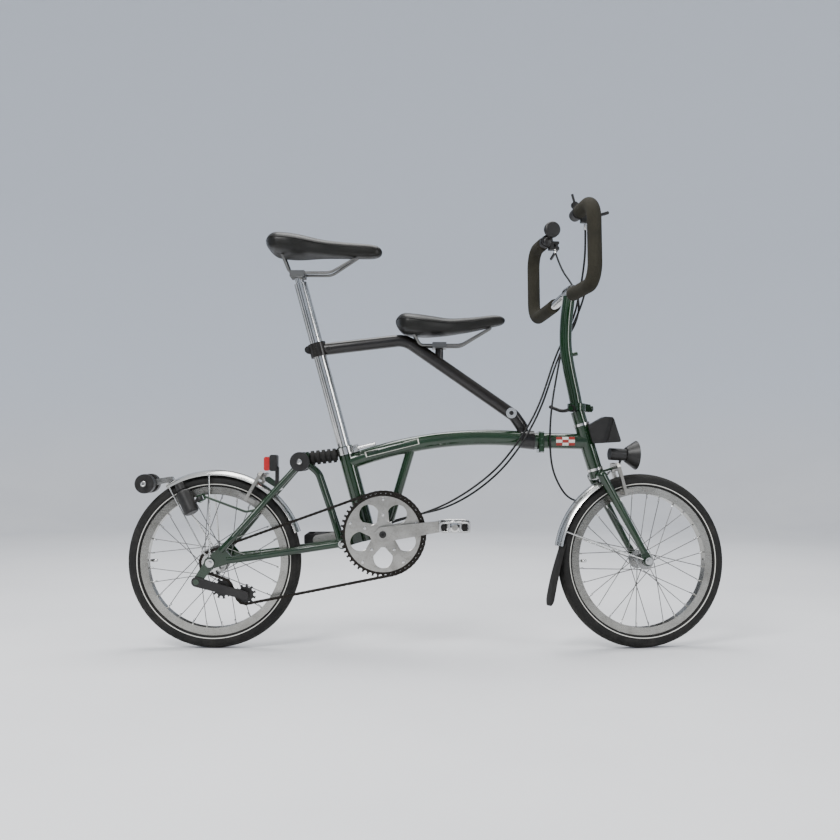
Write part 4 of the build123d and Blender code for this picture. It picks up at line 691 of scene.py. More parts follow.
@dataclass(frozen=True)
class TyreRubber:
    """Tyre rubber with a reflective line on each wall, moulded rings and a dusty tread."""

    name: str
    centre: Point
    steer: float
    line: float = 186.7 * MM
    line_width: float = 1.0 * MM
    tread: tuple[float, float] = (204 * MM, 208 * MM)
    black: Colour = (0.0065, 0.0065, 0.006)
    grey: Colour = (0.013, 0.0125, 0.0115)
    dusty: Colour = (0.050, 0.046, 0.040)
    worn: Colour = (0.034, 0.032, 0.028)
    reflective: Colour = (0.62, 0.61, 0.56)

    def make(self) -> Material:
        """Build the material: the vector is moved to the axle and turned so that Z is the axle."""
        shader = Shader(self.name)
        moved = node(shader.tree, "VectorMath", {0: shader.place, 1: self.centre}, operation="SUBTRACT")
        spin = node(shader.tree, "VectorRotate", {"Vector": moved.outputs[0], "Axis": HEAD_AXIS,
                                                  "Angle": -self.steer}, rotation_type="AXIS_ANGLE")
        lay = node(shader.tree, "VectorRotate", {"Vector": spin.outputs[0], "Axis": (1, 0, 0),
                                                 "Angle": math.pi / 2}, rotation_type="AXIS_ANGLE")
        polar = shader.group("radius", vector=lay.outputs[0])
        radius = polar.outputs["Radius"]
        away = shader.math("ABSOLUTE", shader.math("SUBTRACT", radius, self.line))
        band = shader.math("SUBTRACT", 1.0,
                         shader.step(away, self.line_width * 0.8, self.line_width))
        tread = shader.step(radius, *self.tread)
        grain = shader.group("grain", Scale=700.0)
        base = shader.mix(grain.outputs["Mask"], self.black, self.grey)
        dust = shader.group("dust", Amount=0.75).outputs["Mask"]
        base = shader.mix(shader.math("MULTIPLY", dust, 0.5), base, self.dusty)
        base = shader.mix(shader.math("MULTIPLY", tread, 0.35), base, self.worn)
        base = shader.mix(band, base, self.reflective)
        rings = shader.math("SINE", shader.math("MULTIPLY", radius, 2400.0))
        shader.bump(rings, 0.12, 0.0004)
        shader.bump(grain.outputs["Height"], 0.35, 0.0004)
        rough = shader.blend_values(band, 0.72, 0.4)
        return shader.feed(Base_Color=base, Roughness=rough, Specular_IOR_Level=0.25)


@dataclass(frozen=True)
class Lens:
    """Ribbed clear or coloured lens."""

    name: str
    colour: Colour
    transmission: float
    ribs: float = 75.0

    def make(self) -> Material:
        """Build the material."""
        shader = Shader(self.name)
        inputs = {"Vector": shader.place, "Scale": self.ribs, "Distortion": 0.4}
        wave = node(shader.tree, "TexWave", inputs, bands_direction="Y")
        shader.bump(wave.outputs["Fac"], 0.4, 0.0006)
        film = shader.noise(60.0, 0.4, 0.7)
        tone = shader.mix(film, self.colour, tuple(0.8 * part for part in self.colour))
        return shader.feed(Base_Color=tone, Roughness=0.12, Transmission_Weight=self.transmission,
                           Coat_Weight=0.5)


STEERING = joint("steering")
HEAD_AXIS = tuple(STEERING["axis"])
HEAD_POINT = np.array(STEERING["pos_m"])
STEER_REST = math.radians(10.0)
FRONT_AXLE = tuple(pivot("front_wheel_spin").tolist())
REAR_AXLE = tuple(pivot("rear_wheel_spin").tolist())


def finishes() -> Paint:
    """Build every material once.

    Returns:
        Materials by the plain name of the finish.
    """
    made = [
        Enamel("green_paint", (0.0030, 0.0215, 0.0050), (0.0020, 0.0145, 0.0034)),
        Enamel("black_paint", (0.0055, 0.0048, 0.0045), (0.0100, 0.0085, 0.0075), roughness=0.30, coat=0.3),
        Metal("polished_alloy", (0.66, 0.66, 0.65), (0.24, 0.23, 0.21), 0.15, dirt=0.15),
        Metal("worn_alloy", (0.40, 0.39, 0.365), (0.10, 0.095, 0.08), 0.27, brushed=0.35, dirt=0.6),
        Metal("rim_alloy", (0.36, 0.355, 0.33), (0.11, 0.105, 0.09), 0.24, brushed=0.4, dirt=0.4),
        Metal("bright_steel", (0.66, 0.66, 0.65), (0.18, 0.17, 0.15), 0.20, dirt=0.25),
        Metal("spoke_steel", (0.16, 0.16, 0.155), (0.05, 0.048, 0.045), 0.30, dirt=0.5),
        Metal("hub_steel", (0.44, 0.44, 0.43), (0.12, 0.115, 0.105), 0.24, dirt=0.4),
        Metal("ring_steel", (0.42, 0.41, 0.38), (0.09, 0.08, 0.065), 0.28, brushed=0.4, dirt=0.7),
        Metal("chain_steel", (0.030, 0.027, 0.024), (0.016, 0.014, 0.012), 0.38, dirt=0.5),
        Metal("guard_silver", (0.70, 0.70, 0.68), (0.34, 0.33, 0.31), 0.20, brushed=0.1, dirt=0.12),
        Moulded("soft_rubber", (0.0075, 0.0072, 0.0068), (0.017, 0.016, 0.0145), 0.72),
        Moulded("black_plastic", (0.0065, 0.0062, 0.0060), (0.015, 0.014, 0.013),
                0.36, texture=0.2, gloss=0.4),
        Moulded("cable_housing", (0.0045, 0.0045, 0.0045), (0.009, 0.009, 0.0085),
                0.34, texture=0.1, dust=0.04),
        Moulded("pale_mark", (0.50, 0.49, 0.44), (0.58, 0.57, 0.52), 0.45, texture=0.05, dust=0.2),
        Moulded("red_mark", (0.20, 0.018, 0.014), (0.26, 0.03, 0.022), 0.45, texture=0.05, dust=0.1),
        Leather("saddle_cover", (0.0045, 0.0042, 0.0030), (0.0085, 0.0078, 0.0055)),
        Foam("grip_foam", (0.014, 0.0128, 0.0088), (0.030, 0.0275, 0.0200)),
        Lens("red_lens", (0.42, 0.008, 0.008), 0.10),
        Lens("clear_lens", (0.62, 0.64, 0.64), 0.35),
        TyreRubber("front_tyre_rubber", FRONT_AXLE, STEER_REST),
        TyreRubber("rear_tyre_rubber", REAR_AXLE, 0.0),
    ]
    return {one.name: one.make() for one in made}


DRESS = {
    "green_paint": ["main_frame", "front_frame", "fork", "handlebar_post", "rear_frame"],
    "black_paint": ["second_seat_bar", "tensioner_arm", "frame_hinge_lever", "stem_hinge_lever"],
    "polished_alloy": ["seat_pillar", "handlebar", "headset_bearings", "seat_clamp_collar"],
    "worn_alloy": ["crankset", "front_caliper_right", "front_caliper_left", "rear_caliper_right",
                   "rear_caliper_left"],
    "rim_alloy": ["front_rim", "rear_rim"],
    "bright_steel": ["bottom_bracket_bearings", "hinge_pins", "front_axle", "rear_axle", "seat_clamp_lever",
                     "sprocket"],
    "spoke_steel": ["front_hub", "rear_hub", "saddle_rails", "second_saddle_rails"],
    "ring_steel": ["chainring"],
    "guard_silver": ["front_mudguard", "rear_mudguard"],
    "black_plastic": ["luggage_block", "front_lamp", "rear_rollers", "upper_rollers", "gear_shifter", "bell",
                      "guide_jockey", "tension_jockey", "dynamo", "dynamo_roller", "lever_brackets",
                      "right_brake_lever", "left_brake_lever", "left_pedal"],
    "soft_rubber": ["suspension_block"],
    "grip_foam": ["handlebar_grips"],
    "red_lens": ["rear_lamp"],
}


# Limits between the finishes of one CAD node, in metres.
REAR_LENS_FRONT = -0.2793
RING_TEETH_FROM = 0.0880
FRONT_LENS_X = (0.6105, 0.6175)
FRONT_LENS_HEIGHT = 0.4695
FRONT_LENS_RADIUS = 0.0240
HUB_SHELL_RADIUS = 0.036
BAR_PIVOT = (0.312, 0.572, 0.0131)
BAR_SCREW = (-0.111, 0.730, 0.0065)
BAR_FACE = -0.0135
POST_CLAMP_FROM = 0.8585
SADDLE_CLAMP_FROM = 0.9065


def polygon_centres(mesh: bpy.types.Mesh) -> np.ndarray:
    """Centres of a mesh's faces, as an array of points."""
    centres = np.zeros(len(mesh.polygons) * 3)
    mesh.polygons.foreach_get("center", centres)
    return centres.reshape(-1, 3)


def from_axis(points: np.ndarray, x: float, z: float) -> np.ndarray:
    """Distance of each point from a line along Y through x and z."""
    return np.hypot(points[:, 0] - x, points[:, 2] - z)


def paint_part(name: str, finish: Material, chosen: np.ndarray) -> None:
    """Give some faces of a CAD node a second material.

    Args:
        name: the node.
        finish: the second material.
        chosen: truth value for each face.
    """
    mesh = frame["nodes"][name].data
    mesh.materials.append(finish)
    index = np.zeros(len(mesh.polygons), np.int32)
    mesh.polygons.foreach_get("material_index", index)
    index[chosen] = len(mesh.materials) - 1
    mesh.polygons.foreach_set("material_index", index)
    log.info("%s: %d faces in %s", name, int(chosen.sum()), finish.name)


def dress_nodes(paint: Paint) -> None:
    """Give every CAD node that stays its own material, and a second one to its parts of another finish.

    Args:
        paint: materials by name.
    """
    for finish, names in DRESS.items():
        for name in names:
            mesh = frame["nodes"][name].data
            mesh.materials.clear()
            mesh.materials.append(paint[finish])
            mesh.polygons.foreach_set("material_index", [0] * len(mesh.polygons))
    at = {name: polygon_centres(frame["nodes"][name].data) for name in frame["nodes"]}
    paint_part("rear_lamp", paint["black_plastic"], at["rear_lamp"][:, 0] > REAR_LENS_FRONT)
    crank_x, _, crank_z = pivot("crank_spin")
    teeth = from_axis(at["chainring"], crank_x, crank_z) > RING_TEETH_FROM
    paint_part("chainring", paint["chain_steel"], teeth)
    lamp = turned(at["front_lamp"], np.array(HEAD_AXIS), HEAD_POINT, -STEER_REST)
    lens = (lamp[:, 0] > FRONT_LENS_X[0]) & (lamp[:, 0] < FRONT_LENS_X[1])
    lens &= np.hypot(lamp[:, 1], lamp[:, 2] - FRONT_LENS_HEIGHT) < FRONT_LENS_RADIUS
    paint_part("front_lamp", paint["clear_lens"], lens)
    for end, wheel in (("front", FRONT_AXLE), ("rear", REAR_AXLE)):
        shell = from_axis(at[f"{end}_hub"], wheel[0], wheel[2]) < HUB_SHELL_RADIUS
        paint_part(f"{end}_hub", paint["hub_steel"], shell)
    bar = at["second_seat_bar"]
    lower, upper = (from_axis(bar, x, z) < radius for x, z, radius in (BAR_PIVOT, BAR_SCREW))
    paint_part("second_seat_bar", paint["bright_steel"], (lower | upper) & (bar[:, 1] < BAR_FACE))
    paint_part("handlebar_post", paint["polished_alloy"], at["handlebar_post"][:, 2] > POST_CLAMP_FROM)
    paint_part("seat_pillar", paint["black_paint"], at["seat_pillar"][:, 2] > SADDLE_CLAMP_FROM)


# ---------------------------------------------------------------- wheels
@dataclass
class Wheel:
    """Tyre and small fittings of one wheel.

    The wheel's own frame has its origin at the axle: a point is given by its radius, its angle round the
    axle and its distance along it.
    """

    name: str
    body: str
    centre: Point
    steer: float
    tyre_radius: float = 211.5 * MM
    half_width: float = 18.5 * MM
    flange: float = 180.5 * MM
    wall: float = 3.0 * MM
    groove: float = 1.5 * MM
    blocks: int = 72
    spokes: int = 28

    def place(self, radius: np.ndarray, angle: np.ndarray, across: np.ndarray) -> np.ndarray:
        """Turn wheel coordinates into the bicycle's frame.

        Args:
            radius: distance from the axle.
            angle: angle above forward, round the axle.
            across: distance to the left along the axle.

        Returns:
            Points: centre + (r cos a, y, r sin a), turned by the steering's rest angle.
        """
        local = np.stack([radius * np.cos(angle), across, radius * np.sin(angle)], axis=-1)
        return turned(local, np.array(HEAD_AXIS), np.zeros(3), self.steer) + np.array(self.centre)

    def tyre(self, rubber: Material) -> None:
        """Make the tyre: a closed section carried round the axle, with a treaded crown.

        The section is an arc of angle s about its own centre; the crown is lowered by the groove depth
        where a pattern of blocks says so. The pattern is a centre rib between two zigzag grooves at
        |s| = 0.20 + 0.05 sin(n a), slanted cross grooves where sin(n a + 5 |s|) is high, and a straight
        groove on each side at |s| = 0.66.

        Args:
            rubber: the tyre's material.
        """
        centre_radius = self.tyre_radius - self.half_width
        open_angle = math.acos((self.flange + 0.3 * MM - centre_radius) / self.half_width)
        s = np.linspace(-open_angle, open_angle, 57)
        a = around(12 * self.blocks)
        A, S = np.meshgrid(a, s, indexing="ij")
        crown = 1 / (1 + np.exp((np.abs(S) - 0.92) * 28))
        zig = np.abs(np.abs(S) - 0.20 - 0.05 * np.sin(self.blocks * A)) < 0.045
        cross = (np.sin(self.blocks * A + 5.0 * np.abs(S)) > 0.72) & (np.abs(S) > 0.26)
        outer_groove = np.abs(np.abs(S) - 0.66) < 0.035
        depth = self.groove * crown * (zig | cross | outer_groove)
        r = self.half_width - depth
        outer = self.place(centre_radius + r * np.cos(S), A, r * np.sin(S))
        inner_s = s[::-1][::4]
        A2, S2 = np.meshgrid(a, inner_s, indexing="ij")
        q = self.half_width - self.wall
        inner = self.place(centre_radius + q * np.cos(S2), A2, q * np.sin(S2))
        points = np.concatenate([outer, inner], axis=1)
        faces = grid_faces(points.shape[0], points.shape[1], True, True)
        piece = new_piece(f"{self.name}_tyre_tread", points, faces, self.body, rubber)
        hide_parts(f"{self.name}_tyre")

    def valve(self, steel: Material) -> None:
        """Make the tyre valve with its collar and cap, pointing from the rim at the axle.

        Args:
            steel: the valve's material.
        """
        axis = unit(self.place(1.0, np.pi, 0.0) - np.array(self.centre))
        foot = self.place(163 * MM, np.pi, 0.0)
        profile = np.array([(6, 0.2), (6, 4.6), (2, 4.6), (-0.5, 4.6), (-0.5, 3.0), (-10, 3.0), (-10, 3.9),
                            (-21, 3.9), (-22.5, 3.2), (-22.5, 0.2)]) * MM
        new_piece(f"{self.name}_valve", lathe(profile, foot, axis, 20), capped(len(profile), 20),
                  self.body, steel)

    def nipples(self, metal: Material) -> None:
        """Make the spoke nipples: short tapered studs inside the rim, one for each spoke, in one mesh.

        A stud's rings are (distance from the axle, radius), and its sideways lean grows towards the hub.

        Args:
            metal: the nipples' material.
        """
        sides, rings = 8, np.array([(166.0, 2.2), (160.5, 2.2), (153.0, 1.8), (150.5, 1.3)]) * MM
        index = np.arange(self.spokes)
        angle = ((index + 0.5) * 2 * np.pi / self.spokes)[:, None, None]
        side = np.where(index % 2 == 1, 1.0, -1.0)[:, None, None]
        t = around(sides)
        thick = rings[:, 1][None, :, None]
        radius = np.broadcast_to(rings[:, 0][None, :, None], (self.spokes, len(rings), sides))
        spin = angle + thick * np.cos(t) / radius
        lean = side * (3.0 * MM + (166 * MM - radius) * 0.17)
        points = self.place(radius, spin, lean + thick * np.sin(t))
        faces = copies(capped(len(rings), sides), len(rings) * sides, self.spokes)
        new_piece(f"{self.name}_nipples", points, faces, self.body, metal)


# ---------------------------------------------------------------- saddles
@dataclass
class Saddle:
    """Padded saddle worked out as a surface of two parameters inside its CAD node's box.

    The top line and the lower edge are given by their heights at seven stations, as shares of the box.
    """

    name: str
    node: str
    body: str
    top: Sequence[float]
    under: Sequence[float]
    rows: int = 96
    columns: int = 72

    @staticmethod
    def widths(u: np.ndarray) -> np.ndarray:
        """Half width along the saddle, as a share of the widest: a broad tail running into a narrow nose."""
        knots = np.array([0.0, 0.03, 0.10, 0.22, 0.36, 0.50, 0.65, 0.82, 0.94, 1.0])
        values = np.array([0.42, 0.72, 0.97, 1.0, 0.80, 0.52, 0.38, 0.31, 0.28, 0.20])
        return eased(np.interp(u, knots, values), 13)

    @staticmethod
    def profile(u: np.ndarray, knots: Sequence[float], values: Sequence[float]) -> np.ndarray:
        """Smooth curve through a few heights, eased between them."""
        return eased(np.interp(u, knots, values), 17)

    def surface(self) -> np.ndarray:
        """Points of the saddle.

        At the distance u the section is a rounded form: y = w sgn(cos t)|cos t|^p and
        z = m + h sgn(sin t)|sin t|^q, fuller above and flatter below, with a shallow channel along the
        middle of the top and sides that pull in under the edge.

        Returns:
            A grid of points, one row for each station from tail to nose.
        """
        low, high = (np.array(corner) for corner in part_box(self.node))
        length, half = high[0] - low[0], (high[1] - low[1]) / 2
        height = high[2] - low[2]
        u = (1 - np.cos(np.linspace(0.0, np.pi, self.rows))) / 2
        stations = np.array([0.0, 0.075, 0.26, 0.48, 0.70, 0.90, 1.0])
        crest = low[2] + height * self.profile(u, stations, self.top)
        base = low[2] + height * self.profile(u, stations, self.under)
        ends = np.clip(1 - np.abs((u - 0.5) / 0.5) ** 22, 0.0, 1.0) ** 0.5
        w = half * self.widths(u) * np.maximum(ends, 0.02)
        middle, rise = (crest + base) / 2, (crest - base) / 2 * np.maximum(ends, 0.02)
        t = around(self.columns)
        U, T = np.meshgrid(u, t, indexing="ij")
        cos_t, sin_t = np.cos(T), np.sin(T)
        above = sin_t > 0
        y = w[:, None] * signed_power(cos_t, np.where(above, 0.80, 0.62))
        y *= np.where(above, 1.0, 1.0 - 0.14 * np.abs(sin_t) ** 2)
        z = middle[:, None] + rise[:, None] * signed_power(sin_t, np.where(above, 0.95, 0.45))
        channel = np.exp(-(y / (9 * MM)) ** 2) * np.clip(1.2 - 1.6 * np.abs(U - 0.45), 0, 1)
        z -= np.where(above, 2.6 * MM * channel * np.abs(sin_t) ** 4, 0.0)
        x = low[0] + length * (0.006 + 0.988 * U)
        return np.stack([x, y, z], axis=-1)

    def build(self, paint: Paint) -> None:
        """Args:
            paint: materials by name.
        """
        points = self.surface()
        piece = new_piece(self.name, points, capped(*points.shape[:2]), self.body, paint["saddle_cover"])
        soften = piece.modifiers.new("round", "SUBSURF")
        soften.levels = soften.render_levels = 1
        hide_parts(self.node)
        self.seam(points, paint)

    def seam(self, points: np.ndarray, paint: Paint) -> None:
        """Lay a piped seam along the edge of the top on both sides, with stitches beside it.

        The seam follows the grid line just above the widest part: the surface's own points at a fixed
        parameter, moved outwards by the cord's radius. Stitches are short rods at an even pitch.
        """
        column = int(self.columns * 0.055)
        for side, index in ((Side.LEFT, column), (Side.RIGHT, self.columns // 2 - column)):
            line = points[3:-3, index] + np.array([0.0, 0.2 * MM * side.value, 0.15 * MM])
            radii = np.full(len(line), 0.9 * MM)
            radii[[0, -1]] = 0.3 * MM
            rows = tube_along(line, radii, 8)
            new_piece(f"{self.name}_seam_{side.name.lower()}", rows, capped(len(line), 8), self.body,
                      paint["soft_rubber"])
            self.stitches(points[3:-3, index + (2 if side is Side.LEFT else -2)], side, paint)

    def stitches(self, line: np.ndarray, side: Side, paint: Paint) -> None:
        """Lay a row of thread stitches along a line of the surface.

        Args:
            line: points on the surface.
            side: which side of the saddle.
            paint: materials by name.
        """
        run = arc_length(line)
        pitch, length, radius = 4.2 * MM, 2.6 * MM, 0.35 * MM
        starts = np.arange(pitch, run[-1] - pitch, pitch)
        ends = [np.stack([np.interp(starts + shift, run, line[:, k]) for k in range(3)], axis=-1)
                for shift in (0.0, length / 2, length)]
        lift = np.array([0.0, 0.1 * MM * side.value, 0.25 * MM])
        centre = np.stack([ends[0], ends[1] + lift, ends[2]], axis=1)
        along = unit(centre[:, 2] - centre[:, 0])
        n = unit(np.cross(along, np.array([0.0, 0.3, 1.0])))
        sides = 5
        ring = circle(n, np.cross(along, n), sides)
        grid = centre[:, :, None] + radius * ring[:, None]
        faces = copies(capped(3, sides), 3 * sides, len(starts))
        new_piece(f"{self.name}_stitching_{side.name.lower()}", grid, faces, self.body, paint["soft_rubber"])


# ---------------------------------------------------------------- drive
@dataclass
class Chain:
    """Roller chain round the chain ring, the sprocket and both jockey wheels."""

    pitch: float = 12.7 * MM
    line: float = -47.0 * MM
    half_height: float = 3.9 * MM
    ring_teeth: int = 50
    sprocket_teeth: int = 13
    jockey_teeth: int = 11
    plate: float = 0.85 * MM
    blend_from: tuple[float, float] = (-0.115, 0.262)
    blend_to: tuple[float, float] = (-0.290, 0.222)

    def wheels(self) -> list[tuple[float, float, float, int]]:
        """Wheels in the chain's order: x, z, pitch radius and the side that the chain passes."""
        def radius(teeth: int) -> float:
            """Pitch radius of a wheel: p / (2 sin(pi / teeth))."""
            return self.pitch / (2 * math.sin(math.pi / teeth))

        order = (("crank_spin", self.ring_teeth, 1), ("sprocket_spin", self.sprocket_teeth, 1),
                 ("guide_jockey_spin", self.jockey_teeth, -1), ("tension_jockey_spin", self.jockey_teeth, 1))
        return [(*pivot(name)[[0, 2]].tolist(), radius(teeth), side) for name, teeth, side in order]

    def loop(self) -> np.ndarray:
        """Closed pitch line: straight spans tangent to the wheels, and arcs round them."""
        wheels = self.wheels()
        spans = []
        for here, there in zip(wheels, wheels[1:] + wheels[:1]):
            offset_here, offset_there = here[3] * here[2], there[3] * there[2]
            gap = (there[0] - here[0], there[1] - here[1])
            tilt = math.asin((offset_there - offset_here) / math.hypot(*gap))
            heading = math.atan2(gap[1], gap[0]) - tilt
            normal = np.array([-math.sin(heading), math.cos(heading)])
            start = np.array(here[:2]) - offset_here * normal
            spans.append((start, np.array(there[:2]) - offset_there * normal, heading))
        points = []
        for index, (x, z, radius, side) in enumerate(wheels):
            before, after = spans[index - 1][2], spans[index][2]
            turn = (after - before) % (2 * math.pi)
            if side < 0:
                turn -= 2 * math.pi
            angle = before + np.linspace(0, turn, 60)
            offset = side * radius
            points.append(np.stack([x + offset * np.sin(angle), z - offset * np.cos(angle)], axis=-1))
            start, end = spans[index][0], spans[index][1]
            points.append(start + (end - start) * np.linspace(0, 1, 120)[1:-1, None])
        return np.concatenate(points)

    def build(self, steel: Material) -> None:
        """Make every link as one mesh.

        Pins stand at an even spacing on the loop. A side plate is a figure of eight: its half height is
        h (0.72 + 0.28 sin^2(pi s)) along its length s from -1/2 to 1/2, with round ends. Inner and outer
        plates take turns, and a roller stands at each pin.

        Args:
            steel: the chain's material.
        """
        loop = self.loop()
        loop = np.concatenate([loop, loop[:1]])
        run = arc_length(loop)
        count = 2 * round(run[-1] / self.pitch / 2)
        stations = np.arange(count) * run[-1] / count
        pins = np.stack([np.interp(stations, run, loop[:, k]) for k in range(2)], axis=-1)
        ahead = np.roll(pins, -1, axis=0)
        along = unit(ahead - pins)
        across = np.stack([-along[:, 1], along[:, 0]], axis=-1)
        t = around(20)
        length = np.linalg.norm(ahead - pins, axis=1)
        s = np.clip(np.cos(t) * 0.82, -0.5, 0.5)
        over = np.cos(t) * 0.82 - s
        wide = self.half_height * (0.72 + 0.28 * np.sin(np.pi * s) ** 2)
        outline = np.stack([s * length[0] + over * self.half_height * 3.0, np.sin(t) * wide], axis=-1)
        middle = (pins + ahead) / 2
        flat = middle[:, None] + outline[None, :, :1] * along[:, None]
        flat = flat + outline[None, :, 1:] * across[:, None]
        outer = np.where(np.arange(count) % 2 == 0, 3.5, 2.5) * MM
        layers = []
        for sign in (-1, 1):
            for near in (0.0, self.plate):
                y = np.broadcast_to((self.line + sign * (outer - near))[:, None], flat.shape[:2])
                layers.append(np.stack([flat[..., 0], y, flat[..., 1]], axis=-1))
        plates = np.stack(layers, axis=1)
        n = len(t)
        plate = grid_faces(2, n, False, True).tolist() + [list(range(n)), list(range(n, 2 * n))[::-1]]
        faces = copies(plate, 2 * n, 2 * count)
        self.join(new_piece("chain_plates", plates, faces, None, steel, smooth=False))
        self.rollers(pins, steel)

    def rollers(self, pins: np.ndarray, steel: Material) -> None:
        """Make a roller with its pin at every joint of the chain.

        Args:
            pins: x and z of each pin.
            steel: the chain's material.
        """
        profile = np.array([(-4.1, 0.2), (-4.1, 1.7), (-2.0, 1.7), (-2.0, 3.6), (2.0, 3.6), (2.0, 1.7),
                            (4.1, 1.7), (4.1, 0.2)]) * MM
        sides = 10
        t = around(sides)
        x = pins[:, None, None, 0] + profile[None, :, None, 1] * np.cos(t)
        z = pins[:, None, None, 1] + profile[None, :, None, 1] * np.sin(t)
        y = np.broadcast_to(self.line + profile[None, :, None, 0], x.shape)
        faces = copies(capped(len(profile), sides), len(profile) * sides, len(pins))
        piece = new_piece("chain_rollers", np.stack([x, y, z], axis=-1), faces, None, steel,
                          smooth=False)
        self.join(piece)
        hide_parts("chain")

    def join(self, piece: bpy.types.Object) -> None:
        """Bake a chain piece's placement into its mesh; the chain rides on no body."""
        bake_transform(piece)


